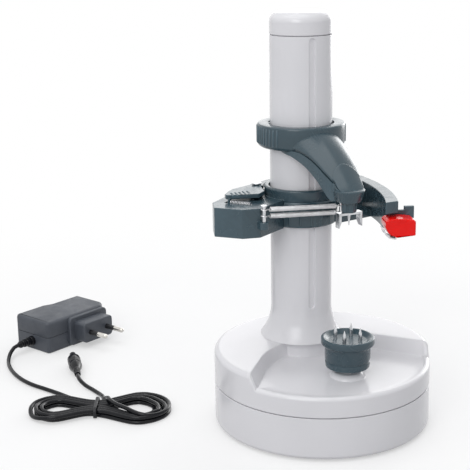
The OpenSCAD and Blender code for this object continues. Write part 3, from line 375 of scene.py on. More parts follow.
def dress(node, slot, edge, segments=2):
    """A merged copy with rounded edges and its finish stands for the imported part."""
    bm = clean_copy(node)
    mesh = bpy.data.meshes.new(node + "_dressed")
    bm.to_mesh(mesh)
    bm.free()
    obj = new_object(node + "_dressed", mesh)
    width = edge * MM * bpy.context.scene.peeler_sizes.edge_rounding
    if width > 0:
        bevel = obj.modifiers.new("Edges", "BEVEL")
        bevel.limit_method = "ANGLE"
        bevel.angle_limit = math.radians(ROUNDED_FROM)
        bevel.width = width
        bevel.segments = segments
        bevel.use_clamp_overlap = False
        bevel.miter_outer = "MITER_ARC"
        rounded_mesh = evaluated(obj, mesh.name + "_round")
        obj.modifiers.clear()
        obj.data = rounded_mesh
        bpy.data.meshes.remove(mesh)
    smooth_up_to(obj.data, SMOOTH_TO)
    weighted = obj.modifiers.new("Even shading", "WEIGHTED_NORMAL")
    weighted.keep_sharp = True
    weighted.weight = 60
    smooth_mesh = evaluated(obj, node + "_dressed")
    obj.modifiers.clear()
    obj.data = smooth_mesh
    return finish_piece(obj, slot, frame["nodes"][node]["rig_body"], node)


# ---------- node helpers ----------


def feed(tree, value, socket):
    """Links a socket to another one, or sets it to a plain value."""
    if isinstance(value, bpy.types.NodeSocket):
        tree.links.new(value, socket)
    else:
        socket.default_value = value


def math_node(tree, operation, *values, clamp=False):
    """Output of a Math node whose inputs are sockets or numbers."""
    node = tree.nodes.new("ShaderNodeMath")
    node.operation = operation
    node.use_clamp = clamp
    for value, socket in zip(values, node.inputs):
        feed(tree, value, socket)
    return node.outputs[0]


def tree_named(name, maker):
    """The tree of that name, made on first use."""
    return bpy.data.node_groups.get(name) or maker(name)


def new_group(name, kind, inputs, outputs):
    """Node tree with named sockets, each (name, socket type, default), and its two ends."""
    tree = bpy.data.node_groups.new(name, kind)
    for way, sockets in (("OUTPUT", outputs), ("INPUT", inputs)):
        for label, socket_kind, default in sockets:
            socket = tree.interface.new_socket(label, in_out=way, socket_type="NodeSocket" + socket_kind)
            if default is not None:
                socket.default_value = default
    return tree, tree.nodes.new("NodeGroupInput").outputs, tree.nodes.new("NodeGroupOutput").inputs


# ---------- geometry node trees ----------


def new_tree(name, inputs):
    """Geometry node tree that also takes a material."""
    outputs = [("Geometry", "Geometry", None)]
    return new_group(name, "GeometryNodeTree", [*inputs, ("Material", "Material", None)], outputs)


def end_tree(tree, given, result, shape):
    """Last nodes of each tree: instances made real, and the given material."""
    real = tree.nodes.new("GeometryNodeRealizeInstances")
    paint = tree.nodes.new("GeometryNodeSetMaterial")
    feed(tree, shape, real.inputs["Geometry"])
    feed(tree, real.outputs["Geometry"], paint.inputs["Geometry"])
    feed(tree, given["Material"], paint.inputs["Material"])
    feed(tree, paint.outputs["Geometry"], result["Geometry"])
    return tree


def copies_node(tree, given, position):
    """Node that sets copies of the given piece at as many points as the count says."""
    points = tree.nodes.new("GeometryNodePoints")
    info = tree.nodes.new("GeometryNodeObjectInfo")
    info.transform_space = "ORIGINAL"
    copies = tree.nodes.new("GeometryNodeInstanceOnPoints")
    feed(tree, given["Count"], points.inputs["Count"])
    feed(tree, position, points.inputs["Position"])
    feed(tree, given["Piece"], info.inputs["Object"])
    feed(tree, points.outputs["Geometry"], copies.inputs["Points"])
    feed(tree, info.outputs["Geometry"], copies.inputs["Instance"])
    return copies


def wire_coil_tree(name):
    """Round-wire coil along +Z with capped ends."""
    tree, given, result = new_tree(name, [
        ("Turns", "Float", 10.0), ("Radius", "Float", 1.5 * MM), ("Length", "Float", 10 * MM),
        ("Wire", "Float", 0.4 * MM), ("Sides", "Int", 10), ("Steps per turn", "Int", 24),
    ])
    spiral = tree.nodes.new("GeometryNodeCurveSpiral")
    spiral.inputs["Reverse"].default_value = False
    for label, socket in (("Steps per turn", "Resolution"), ("Turns", "Rotations"), ("Length", "Height"),
                          ("Radius", "Start Radius"), ("Radius", "End Radius")):
        feed(tree, given[label], spiral.inputs[socket])
    wire = tree.nodes.new("GeometryNodeCurvePrimitiveCircle")
    feed(tree, given["Sides"], wire.inputs["Resolution"])
    feed(tree, given["Wire"], wire.inputs["Radius"])
    skin = tree.nodes.new("GeometryNodeCurveToMesh")
    skin.inputs["Fill Caps"].default_value = True
    feed(tree, spiral.outputs["Curve"], skin.inputs["Curve"])
    feed(tree, wire.outputs["Curve"], skin.inputs["Profile Curve"])
    return end_tree(tree, given, result, skin.outputs["Mesh"])


def ring_copies_tree(name):
    """Copies of one object set evenly round a circle, each turned outwards."""
    tree, given, result = new_tree(name, [
        ("Piece", "Object", None), ("Count", "Int", 4), ("Radius", "Float", 10 * MM),
        ("First angle", "Float", 0.0), ("Angle step", "Float", math.pi / 2),
    ])
    index = tree.nodes.new("GeometryNodeInputIndex").outputs[0]
    angle = math_node(tree, "MULTIPLY_ADD", index, given["Angle step"], given["First angle"])
    turn = tree.nodes.new("ShaderNodeCombineXYZ")
    feed(tree, angle, turn.inputs["Z"])
    reach = tree.nodes.new("ShaderNodeCombineXYZ")
    feed(tree, given["Radius"], reach.inputs["X"])
    spin = tree.nodes.new("ShaderNodeVectorRotate")
    spin.rotation_type = "EULER_XYZ"
    feed(tree, reach.outputs["Vector"], spin.inputs["Vector"])
    feed(tree, turn.outputs["Vector"], spin.inputs["Rotation"])
    copies = copies_node(tree, given, spin.outputs["Vector"])
    feed(tree, turn.outputs["Vector"], copies.inputs["Rotation"])
    return end_tree(tree, given, result, copies.outputs["Instances"])


def row_copies_tree(name):
    """Copies of one object in a row along Z, each a little smaller than the one before."""
    tree, given, result = new_tree(name, [
        ("Piece", "Object", None), ("Count", "Int", 3), ("Step", "Float", 4 * MM), ("Shrink", "Float", 0.1),
    ])
    index = tree.nodes.new("GeometryNodeInputIndex").outputs[0]
    place = tree.nodes.new("ShaderNodeCombineXYZ")
    feed(tree, math_node(tree, "MULTIPLY", index, given["Step"]), place.inputs["Z"])
    size = math_node(tree, "SUBTRACT", 1.0, math_node(tree, "MULTIPLY", index, given["Shrink"]))
    scale = tree.nodes.new("ShaderNodeCombineXYZ")
    feed(tree, size, scale.inputs["X"])
    feed(tree, size, scale.inputs["Y"])
    feed(tree, 1.0, scale.inputs["Z"])
    copies = copies_node(tree, given, place.outputs["Vector"])
    feed(tree, scale.outputs["Vector"], copies.inputs["Scale"])
    return end_tree(tree, given, result, copies.outputs["Instances"])


def grown(name, tree, values):
    """Plain mesh that a tree makes with these input values."""
    obj = new_object(name + "_seed", bpy.data.meshes.new(name + "_seed"))
    modifier = obj.modifiers.new("Grow", "NODES")
    modifier.node_group = tree
    for item in tree.interface.items_tree:
        if item.in_out == "INPUT" and item.name in values:
            modifier[item.identifier] = values[item.name]
    mesh = evaluated(obj, name)
    seed = obj.data
    bpy.data.objects.remove(obj)
    bpy.data.meshes.remove(seed)
    return mesh


# ---------- finishes ----------


def noise_node(tree, coords, scale, detail=3.0, rough=0.55, distortion=0.0):
    """Output of a noise texture."""
    node = tree.nodes.new("ShaderNodeTexNoise")
    for label, value in (("Vector", coords), ("Scale", scale), ("Detail", detail), ("Roughness", rough),
                         ("Distortion", distortion)):
        feed(tree, value, node.inputs[label])
    return node.outputs["Fac"]


def map_node(tree, source, low, high, out_low=0.0, out_high=1.0):
    """Smooth change from one value to another as the source goes from low to high."""
    node = tree.nodes.new("ShaderNodeMapRange")
    node.interpolation_type = "SMOOTHSTEP"
    for label, value in (("Value", source), ("From Min", low), ("From Max", high), ("To Min", out_low),
                         ("To Max", out_high)):
        feed(tree, value, node.inputs[label])
    return node.outputs[0]


def mix_colour(tree, factor, first, second):
    """Mix of two colour sockets or values."""
    node = tree.nodes.new("ShaderNodeMix")
    node.data_type = "RGBA"
    factor_input, first_input, second_input = node.inputs[0], node.inputs[6], node.inputs[7]
    feed(tree, factor, factor_input)
    feed(tree, first, first_input)
    feed(tree, second, second_input)
    return node.outputs[2]


def bump_node(tree, height, distance, strength):
    """Normal that follows a height."""
    node = tree.nodes.new("ShaderNodeBump")
    for label, value in (("Height", height), ("Distance", distance), ("Strength", strength)):
        feed(tree, value, node.inputs[label])
    return node.outputs["Normal"]


def moulded_group(name):
    """Moulded plastic: slow colour drift, fine grain, handling marks in the gloss."""
    group, given, result = new_group(
        name, "ShaderNodeTree",
        [
            ("Colour", "Color", (0.5, 0.5, 0.5, 1)), ("Deep colour", "Color", (0.4, 0.4, 0.4, 1)),
            ("Drift scale", "Float", 30.0), ("Grain scale", "Float", 2200.0),
            ("Grain height", "Float", 0.3), ("Gloss low", "Float", 0.25), ("Gloss high", "Float", 0.4),
        ],
        [("Colour", "Color", None), ("Roughness", "Float", None), ("Normal", "Vector", None)],
    )
    coords = group.nodes.new("ShaderNodeTexCoord").outputs["Object"]
    drift = map_node(group, noise_node(group, coords, given["Drift scale"], detail=4.0), 0.32, 0.68)
    marks = noise_node(group, coords, 62.0, detail=6.0, rough=0.62, distortion=1.4)
    grain = noise_node(group, coords, given["Grain scale"], detail=2.0)
    waves = noise_node(group, coords, 90.0, detail=1.0)
    relief = math_node(group, "MULTIPLY_ADD", waves, 0.35, grain)
    feed(group, mix_colour(group, drift, given["Colour"], given["Deep colour"]), result["Colour"])
    gloss = map_node(group, marks, 0.36, 0.66, given["Gloss low"], given["Gloss high"])
    feed(group, gloss, result["Roughness"])
    feed(group, bump_node(group, relief, 0.00006, given["Grain height"]), result["Normal"])
    return group


def edge_highlight_and_dust_group(name):
    """Painted highlight on convex edges, broken into patches, and a little dust where the surface looks up.
    """
    group, given, result = new_group(
        name, "ShaderNodeTree",
        [
            ("Colour", "Color", (0.5, 0.5, 0.5, 1)), ("Rubbed colour", "Color", (0.6, 0.6, 0.6, 1)),
            ("Rub amount", "Float", 0.5), ("Dust amount", "Float", 0.1),
        ],
        [("Colour", "Color", None)],
    )
    coords = group.nodes.new("ShaderNodeTexCoord").outputs["Object"]
    shape = group.nodes.new("ShaderNodeNewGeometry")
    # convex edges are lightened here as a painted highlight, broken into patches
    edges = map_node(group, shape.outputs["Pointiness"], 0.52, 0.60)
    blotches = noise_node(group, coords, 240.0, detail=5.0)
    patches = map_node(group, blotches, 0.35, 0.65, 0.35, given["Rub amount"])
    rub = math_node(group, "MULTIPLY", edges, patches)
    facing = group.nodes.new("ShaderNodeSeparateXYZ")
    feed(group, shape.outputs["Normal"], facing.inputs[0])
    upward = map_node(group, facing.outputs["Z"], 0.6, 1.0, 0.0, given["Dust amount"])
    specks = map_node(group, noise_node(group, coords, 700.0, detail=3.0), 0.5, 0.7)
    dust_and_highlight = math_node(group, "MULTIPLY_ADD", upward, specks, rub, clamp=True)
    feed(group, mix_colour(group, dust_and_highlight, given["Colour"], given["Rubbed colour"]), result["Colour"])
    return group


def metal_group(name):
    """Drawn or turned metal: fine streaks along Z and dull patches."""
    group, given, result = new_group(
        name, "ShaderNodeTree",
        [
            ("Colour", "Color", (0.7, 0.7, 0.7, 1)), ("Dull colour", "Color", (0.5, 0.5, 0.5, 1)),
            ("Streak scale", "Float", 900.0), ("Gloss low", "Float", 0.15), ("Gloss high", "Float", 0.35),
        ],
        [("Colour", "Color", None), ("Roughness", "Float", None), ("Normal", "Vector", None)],
    )
    coords = group.nodes.new("ShaderNodeTexCoord").outputs["Object"]
    stretch = group.nodes.new("ShaderNodeMapping")
    stretch.inputs["Scale"].default_value = (1.0, 1.0, 0.04)
    feed(group, coords, stretch.inputs["Vector"])
    streaks = noise_node(group, stretch.outputs[0], given["Streak scale"], rough=0.5)
    patches = map_node(group, noise_node(group, coords, 160.0, detail=4.0), 0.38, 0.66)
    feed(group, mix_colour(group, patches, given["Colour"], given["Dull colour"]), result["Colour"])
    gloss = map_node(group, streaks, 0.3, 0.7, given["Gloss low"], given["Gloss high"])
    feed(group, gloss, result["Roughness"])
    feed(group, bump_node(group, streaks, 0.00002, 0.25), result["Normal"])
    return group


def rgba(colour, factor=1.0):
    """Colour with alpha, made darker or lighter."""
    return tuple(min(1.0, c * factor) for c in colour) + (1.0,)


def group_node(tree, name, maker, values):
    """Shader group with its inputs set."""
    node = tree.nodes.new("ShaderNodeGroup")
    node.node_tree = tree_named(name, maker)
    for label, value in values.items():
        feed(tree, value, node.inputs[label])
    return node.outputs


def skinned_material(name, group, maker, values):
    """Material with a shader that takes colour, gloss and grain from a group."""
    material = bpy.data.materials.new(name)
    material.use_nodes = True
    shader = material.node_tree.nodes["Principled BSDF"]
    skin = group_node(material.node_tree, group, maker, values)
    for output, socket in (("Colour", "Base Color"), ("Roughness", "Roughness"), ("Normal", "Normal")):
        feed(material.node_tree, skin[output], shader.inputs[socket])
    return material.node_tree, shader, skin


def plastic(name, colour, deep=0.9, drift=30.0, grain=2200.0, height=0.3, gloss=(0.25, 0.4),
            rub=0.4, rubbed=1.6, dust=0.1, ior=1.5):
    """Moulded plastic material with a painted highlight on its convex edges. deep and the highlight's
    lightness are shares of its colour.
    """
    tree, shader, skin = skinned_material(name, "Moulded skin", moulded_group, {
        "Colour": rgba(colour), "Deep colour": rgba(colour, deep), "Drift scale": drift,
        "Grain scale": grain, "Grain height": height, "Gloss low": gloss[0], "Gloss high": gloss[1],
    })
    # over the colour go a painted highlight on convex edges and dust on upward faces
    highlight_and_dust = group_node(tree, "Edge rub and dust", edge_highlight_and_dust_group, {
        "Colour": skin["Colour"], "Rubbed colour": rgba(colour, rubbed), "Rub amount": rub,
        "Dust amount": dust,
    })
    feed(tree, highlight_and_dust["Colour"], shader.inputs["Base Color"])
    shader.inputs["IOR"].default_value = ior


def metal(name, colour, dull=0.75, streaks=900.0, gloss=(0.15, 0.35)):
    """Bright or plated metal material. dull is the share of its colour that dull patches keep."""
    _, shader, _ = skinned_material(name, "Drawn metal", metal_group, {
        "Colour": rgba(colour), "Dull colour": rgba(colour, dull), "Streak scale": streaks,
        "Gloss low": gloss[0], "Gloss high": gloss[1],
    })
    shader.inputs["Metallic"].default_value = 1.0


# In the plastics, the amount and the lightness of the painted highlight on convex edges are among the maker's
# values.
# Finish: its maker, the material's name, a colour or the panel's name for one, and the maker's values.
FINISHES = {
    "white_shell": (plastic, "Glossy shell plastic", "shell", {
        "deep": 0.965, "drift": 14.0, "height": 0.08, "gloss": (0.16, 0.24), "rub": 0.2, "rubbed": 1.05,
        "dust": 0.03}),
    "teal_plastic": (plastic, "Satin arm plastic", "arm", {
        "deep": 0.88, "drift": 26.0, "height": 0.22, "gloss": (0.20, 0.30), "rub": 0.55, "rubbed": 2.0,
        "dust": 0.06}),
    "red_plastic": (plastic, "Glossy red plastic", "blade_grip", {
        "deep": 0.86, "drift": 60.0, "height": 0.12, "gloss": (0.14, 0.24), "rub": 0.2, "rubbed": 1.1,
        "dust": 0.01, "ior": 1.34}),
    "slate_case": (plastic, "Grained adapter case", "case", {
        "deep": 0.84, "drift": 40.0, "grain": 1500.0, "height": 0.6, "gloss": (0.42, 0.55), "rub": 0.5,
        "rubbed": 2.0, "dust": 0.12}),
    "black_plastic": (plastic, "Matt black plastic", (0.010, 0.0105, 0.013), {
        "deep": 0.7, "drift": 60.0, "grain": 1600.0, "height": 0.5, "gloss": (0.34, 0.48), "rub": 0.4,
        "rubbed": 2.0, "dust": 0.05, "ior": 1.38}),
    "soft_black": (plastic, "Black lead rubber", "lead", {
        "deep": 0.72, "drift": 90.0, "grain": 2600.0, "height": 0.15, "gloss": (0.16, 0.26), "rub": 0.1,
        "rubbed": 1.8, "dust": 0.02, "ior": 1.33}),
    "nylon": (plastic, "Natural nylon", (0.78, 0.76, 0.66), {
        "drift": 50.0, "gloss": (0.35, 0.5), "rub": 0.1, "rubbed": 1.1, "dust": 0.02}),
    "nickel": (metal, "Nickel plate", (0.72, 0.70, 0.66), {"streaks": 1400.0, "gloss": (0.10, 0.24)}),
    "spring_wire": (metal, "Bright spring wire", (0.74, 0.74, 0.75), {
        "dull": 0.85, "streaks": 500.0, "gloss": (0.30, 0.42)}),
    "brass": (metal, "Turned brass", (0.66, 0.48, 0.20), {"streaks": 700.0, "gloss": (0.18, 0.36)}),
    "steel": (metal, "Bright steel", (0.66, 0.67, 0.69), {"gloss": (0.16, 0.34)}),
}


def finish_named(name):
    """The material of a finish, made on first use."""
    make, label, colour, values = FINISHES[name]
    if label not in bpy.data.materials:
        if isinstance(colour, str):
            colour = tuple(getattr(bpy.context.scene.peeler_colours, colour))
        make(label, colour, **values)
    return bpy.data.materials[label]


# ---------- lead ----------


# Hank: its strands lie in three slots, the outermost first, and in two layers with one strand over
# them. At the waist a slot is a step further in.
WAIST_Y = 9.2
WAIST_STEP = 3.4
LAYERS_Z = (1.7, 5.05, 8.3)
# Each lobe: x of its middle and how far that moves with each slot, its radius and how much it loses.
LEFT_LOBE = (-31.0, 0.6, 18.2, 3.4)
RIGHT_LOBE = (29.0, -1.6, 21.2, 3.7)


def hank_loops():
    """Centreline through the tied hank, in the hank's own plane (x along it, y across)."""

    def waist(x, slot, side, z):
        return (x, side * (WAIST_Y - WAIST_STEP * slot), z)

    def lobe(side, slot, degrees, z):
        middle, shift, radius, loss = LEFT_LOBE if side < 0 else RIGHT_LOBE
        x, y = polar(radius - loss * slot, degrees)
        return (x + middle + shift * slot, y, z)

    low, high, over = LAYERS_Z
    path = [waist(-8, 0, 1, low)]
    for turn in range(6):
        under = turn < 3
        slot = turn if under else 5 - turn
        level = low if under else high
        path.append(waist(4, slot, 1, level))
        # right lobe: the upper turns move out by one slot, the third turn climbs
        for degrees in (100, 65, 30):
            path.append(lobe(1, slot, degrees, level))
        if turn == 5:
            break
        path.append(lobe(1, slot if under else slot - 0.5, 0, level))
        after = slot if under else slot - 1
        climb = [level, level, level] if turn != 2 else [2.0, 3.4, 4.7]
        for degrees, z in zip((-30, -65, -100), climb):
            path.append(lobe(1, after, degrees, z))
        level = high if turn == 2 else level
        path.append(waist(4, after, -1, level))
        # near strands: the lower turns move in by one slot
        beyond = after + 1 if turn < 2 else after
        path.append(waist(-9, beyond, -1, level))
        sag = 2.4 if turn == 4 else level
        heights = [level, (level + sag) / 2, sag, (level + sag) / 2 + 0.6, level, level, level]
        for degrees, z in zip((280, 245, 210, 180, 150, 115, 80), heights):
            path.append(lobe(-1, beyond, degrees, z))
        path.append(waist(-8, beyond, 1, level))
    # last strand: round the right lobe and back over the others to the far side
    for degrees, z in ((0, high), (-30, high), (-60, 5.6)):
        path.append(lobe(1, 0, degrees, z))
    path += [(30.0, -19.0, 7.2), (20.0, -11.0, over), (12.0, -3.0, over), (7.0, 5.0, over), (5.0, 12.0, 6.6)]
    return path


def smooth_route(points, step):
    """Catmull-Rom curve through the points, cut into steps of about equal length."""
    curve = []
    for i in range(len(points) - 1):
        a, b = Vector(points[max(i - 1, 0)]), Vector(points[i])
        c, d = Vector(points[i + 1]), Vector(points[min(i + 2, len(points) - 1)])
        n = max(2, round((c - b).length / step))
        for k in range(n):
            t = k / n
            curve.append(
                0.5 * (2 * b + (c - a) * t + (2 * a - 5 * b + 4 * c - d) * t * t
                       + (3 * b - a - 3 * c + d) * t * t * t)
            )
    curve.append(Vector(points[-1]))
    return curve


class PEELER_OT_lead(bpy.types.Operator):
    """Lay the low voltage lead from the adapter, through its tied hank, to the barrel plug"""

    bl_idname = "peeler.lead"
    bl_label = "Lead, tie and barrel plug"

    def execute(self, context):
        diameter = context.scene.peeler_sizes.lead_diameter
        inner = placed(hank_loops(), (*HANK_AT, 0), HANK_TURN)
        points = smooth_route(ROUTE_IN + inner + ROUTE_OUT[1:], 2.6)
        curve = bpy.data.curves.new("lead", "CURVE")
        curve.dimensions = "3D"
        curve.bevel_depth = diameter / 2
        curve.bevel_resolution = 3
        curve.use_fill_caps = True
        spline = curve.splines.new("POLY")
        spline.points.add(len(points) - 1)
        for target, p in zip(spline.points, points):
            target.co = (*(p * MM), 1.0)
        spline.use_smooth = True
        lead = new_object("lead", curve)
        finish_piece(lead, "soft_black", "base", "supply_lead", "lead_hank", "plug_lead")
        plug = self.barrel_plug()
        tie = self.tie()
        relief = self.relief()
        return {"FINISHED"}

    def barrel_plug(self):
        """Moulded grip with its ribbed tail, and the metal barrel."""
        turn = Matrix.Rotation(PLUG_TURN, 4, "Z") @ Matrix.Rotation(math.pi / 2, 4, "Y")
        grip = revolve(
            "dc_grip_form",
            [(0, -14), (2.2, -14), (2.9, -11.4), (3.3, -10.2), (5.0, -4.4), (5.2, -2.6), (4.75, -1.6),
             (4.65, 1.4), (5.1, 2.6), (5.2, 11.2), (4.9, 12.2), (4.3, 12.8), (2.9, 13.0), (2.9, 12.2),
             (0, 12.2)],
            at=PLUG_AT, steps=48, turn=turn,
        )
        tail = revolve("dc_tail_form", [(0, -22), (2.0, -22), (2.3, -12), (0, -12)], at=PLUG_AT,
                       steps=32, turn=turn)
        rings = relief_rings(4, 2.35, -2.6, 2.95, 0.055, (0, 0, -12.6), PLUG_AT, turn)
        grip_obj = new_object("dc_plug_body", join_meshes("dc_plug_body", [grip, tail, rings]))
        finish_piece(grip_obj, "soft_black", "base", "dc_plug_grip")
        barrel = revolve(
            "dc_plug_sleeve",
            [(0, 11), (2.75, 11), (2.75, 21.9), (2.6, 22.3), (2.3, 22.5), (2.05, 22.4), (2.0, 22.0),
             (2.0, 13.2), (1.1, 13.2), (1.1, 21.4), (0.8, 21.8), (0, 21.8)],
            at=PLUG_AT, steps=40, turn=turn,
        )
        barrel_obj = new_object("dc_plug_sleeve", barrel)
        finish_piece(barrel_obj, "nickel", "base", "dc_plug_barrel")
        return [grip_obj, barrel_obj]

    def tie(self):
        """Band with a crowned outer face round the waist of the hank."""
        half, edge, foot = 1.2, 0.3, 0.3
        outline = rounded([(-11.9, 0.3), (11.9, 0.3), (11.9, 6.6), (9.6, 8.2), (-9.6, 8.2), (-11.9, 6.6)],
                          2.6, 6)

        def ring(x, wide, high, bottom=foot):
            points = [(x - 2.0, y * wide, bottom + (z - foot) * high) for y, z in outline]
            return placed(points, (*HANK_AT, 0), HANK_TURN)

        outer = [ring(x, 1 + grow / 12, 1 + grow / 8)
                 for x, grow in ((-half, 0.0), (edge - half, 0.35), (half - edge, 0.35), (half, 0.0))]
        inner = [ring(x, 0.955, 0.93, 0.55) for x in (half, -half)]
        bm = bmesh.new()
        rows = add_rings(bm, outer + inner, closed_ends=False)
        n = len(outline)
        for k in range(n):
            bm.faces.new((rows[-1][k], rows[-1][(k + 1) % n], rows[0][(k + 1) % n], rows[0][k]))
        tie = new_object("hank_band", mesh_from(bm, "hank_band"))
        return finish_piece(tie, "black_plastic", "base", "hank_tie")

    def relief(self):
        """Ribbed strain relief at the adapter."""
        turn = Matrix.Rotation(ADAPTER_TURN, 4, "Z") @ Matrix.Rotation(-math.pi / 2, 4, "Y")
        at = placed([(-30.5, 0, 8)], (*ADAPTER_AT, 0), ADAPTER_TURN)[0]
        sleeve = revolve(
            "relief_sleeve",
            [(0, 0), (4, 0), (4, 5.2), (3.7, 5.9), (2.9, 6.2), (2.5, 6.8), (2.2, 17.2), (1.9, 18), (0, 18)],
            at=at, steps=40, turn=turn,
        )
        rings = relief_rings(3, 2.4, 4.0, 3.65, 0.10, (0, 0, 7.4), at, turn)
        relief = new_object("lead_relief", join_meshes("lead_relief", [sleeve, rings]))
        return [finish_piece(relief, "soft_black", "base", "adapter_relief")]


def relief_rings(count, thick, step, radius, shrink, first, at, turn):
    """Rounded rings in a row along a relief, each smaller than the last."""
    half = thick / 2
    ring = revolve(
        "relief_ring",
        [(0, -half), (radius - 0.6, -half), (radius - 0.15, -half + 0.2), (radius, 0),
         (radius - 0.15, half - 0.2), (radius - 0.6, half), (0, half)],
        at=first, steps=32,
    )
    seed = new_object("relief_ring_seed", ring)
    rings = grown(
        "relief_rings",
        tree_named("Row of copies", row_copies_tree),
        {"Piece": seed, "Count": count, "Step": step * MM, "Shrink": shrink,
         "Material": finish_named("soft_black")},
    )
    bpy.data.objects.remove(seed)
    rings.transform(Matrix.Translation(Vector(at) * MM) @ turn)
    return rings


# ---------- adapter ----------


class PEELER_OT_adapter(bpy.types.Operator):
    """Build the adapter case, its plug block and its pins"""

    bl_idname = "peeler.adapter"
    bl_label = "Adapter"

    def execute(self, context):
        plan = [(-31.5, -20), (27.5, -20), (33.5, -14), (33.5, 15), (31.5, 17), (4, 17), (-4, 20),
                (-31.5, 20), (-33.5, 18), (-33.5, -18)]
        corner = [2.0, 5.0, 5.0, 2.0, 1.2, 9.0, 9.0, 1.2, 1.5, 1.5]
        outline = rounded(plan, corner, 6)
        turn = Matrix.Rotation(ADAPTER_TURN, 4, "Z")
        at = (*ADAPTER_AT, 0)
        for name, node, z0, z1, top, bottom in (
            ("adapter_lid", "adapter_top", 13.85, 27.0, 2.6, 0.25),
            ("adapter_tray", "adapter_bottom", 0.0, 13.45, 0.25, 2.2),
        ):
            half = new_object(name, prism(name, outline, z0, z1, top, bottom, 5, 35, turn, at))
            finish_piece(half, "slate_case", "base", node)
        seam = new_object("adapter_seam", prism("adapter_seam", inset_ring(outline, 0.55), 12.8, 14.6, 0.1,
                                                0.1, 1, 35, turn, at))
        finish_piece(seam, "black_plastic", "base")
        self.plug_block()
        self.pins()
        return {"FINISHED"}

    def plug_block(self):
        """Wide foot and narrower head of the mains plug."""
        stand = Matrix.Rotation(ADAPTER_TURN, 4, "Z") @ Matrix.Rotation(math.pi / 2, 4, "X")
        at = placed([(9, -20, 13.5)], (*ADAPTER_AT, 0), ADAPTER_TURN)[0]
        foot = prism("plug_foot", rounded([(-21, -12), (21, -12), (21, 12), (-21, 12)], 4, 6),
                     -0.5, 3, 0.8, 0.2, 4, 35, stand, at)
        head_outline = rounded([(-16, -8.5), (16, -8.5), (16, 8.5), (-16, 8.5)], 3, 6)
        head = prism("plug_head", head_outline, 2.5, 15, 1.0, 0.2, 4, 35, stand, at)
        block = new_object("plug_head", join_meshes("plug_head", [foot, head]))
        finish_piece(block, "slate_case", "base", "plug_block")

    def pins(self):
        """Two round pins, sleeved in black over their inner half."""
        stand = Matrix.Rotation(ADAPTER_TURN, 4, "Z") @ Matrix.Rotation(math.pi / 2, 4, "X")
        metal_forms, sleeve_forms = [], []
        for side in (-1, 1):
            at = placed([(9 + side * 9.3, -20, 13.5)], (*ADAPTER_AT, 0), ADAPTER_TURN)[0]
            metal_forms.append(revolve(
                "pin_form", [(0, 14), (1.85, 14), (1.85, 24.2), (2.0, 24.4), (2.0, 32.0), (1.8, 33.2),
                             (1.3, 33.9), (0.6, 34.2), (0, 34.25)], at=at, steps=32, turn=stand))
            sleeve_forms.append(revolve(
                "sleeve_form", [(0, 14.9), (2.15, 14.9), (2.05, 15.6), (1.98, 24.3), (1.85, 24.5), (0, 24.5)],
                at=at, steps=32, turn=stand))
        pins = new_object("mains_pins", join_meshes("mains_pins", metal_forms))
        finish_piece(pins, "nickel", "base", "plug_pins")
        sleeves = new_object("pin_sleeves", join_meshes("pin_sleeves", sleeve_forms))
        finish_piece(sleeves, "black_plastic", "base")


# ---------- base and column ----------

BASE_R = 75.0
SEAM_Z = 30.8
TRAY_Z = 43.4
RIM_Z = 44.7
DECK_Z = 53.8
TRAY_R = 63.8
TRAY_Y = -45.0
SADDLE_R = 24.0
WALL = 2.4
RING_POINTS = 384

# Tray's wall, with angles from the side of the base. Above the first angle it is an arc, and below
# it straight. Above the second its slope is narrow, and from there it widens over the third.
STEP_ANGLE = math.radians(40)
STEEP_FROM = math.radians(60)
LEANING_OVER = math.radians(46)
STEEP_WIDTH = 1.2
LEANING_WIDTH = 3.0
SADDLE_WIDTH = 0.8

# Past this radius the tray's floor comes up to the rim over a width, and the wall's two edges have
# a radius.
DISH_R = 70.7
DISH_WIDTH = 0.9
SOFT = 0.8

# Boss round the cup's spindle, as (radius, height).
BOSS = [(4.3, 46.0), (4.4, 46.8), (4.8, 47.0), (9.1, 47.0), (9.5, 46.8), (11.8, 44.6), (12.1, 43.7),
        (12.6, 43.45)]

# Holes in the rim for the inlet and the start button.
PORTS_Z = 40
INLET_ANGLE = 118
INLET_HOLE_R = 5.0
BUTTON_ANGLE = 58
BUTTON_HOLE_R = 6.3


def quarter(distance, radius):
    """Depth of a rounded edge at a distance from where the rounding starts."""
    d = min(max(distance, 0.0), radius)
    return radius - math.sqrt(radius * radius - d * d)


def tray_side(x, y):
    """Distance to the line of the tray's wall, positive over the tray, and the wall's slope width."""
    dx, dy = abs(x), y - TRAY_Y
    angle = math.atan2(dy, dx)
    if angle > STEP_ANGLE:
        side = TRAY_R - math.hypot(dx, dy)
    else:
        side = TRAY_R - (dx * math.cos(STEP_ANGLE) + dy * math.sin(STEP_ANGLE))
    slope = STEEP_WIDTH + LEANING_WIDTH * min(max((STEEP_FROM - angle) / LEANING_OVER, 0.0), 1.0)
    saddle = math.hypot(x, y - COLUMN_Y) - SADDLE_R
    return (saddle, SADDLE_WIDTH) if saddle < side else (side, slope)


def top_height(x, y, shift):
    """Height of the base's upper face. shift moves the wall outwards, for the inner face."""
    radius = math.hypot(x, y)
    side, slope = tray_side(x, y)
    side += shift
    dish = min(max((radius + shift - DISH_R) / DISH_WIDTH, 0.0), 1.0)
    low = TRAY_Z + (RIM_Z - TRAY_Z) * dish * dish * (3 - 2 * dish)
    if side <= 0:
        return DECK_Z - quarter(side + SOFT, SOFT)
    if side < slope:
        return DECK_Z - SOFT - (DECK_Z - SOFT - low - SOFT) * side / slope
    return low + quarter(slope + SOFT - side, SOFT)


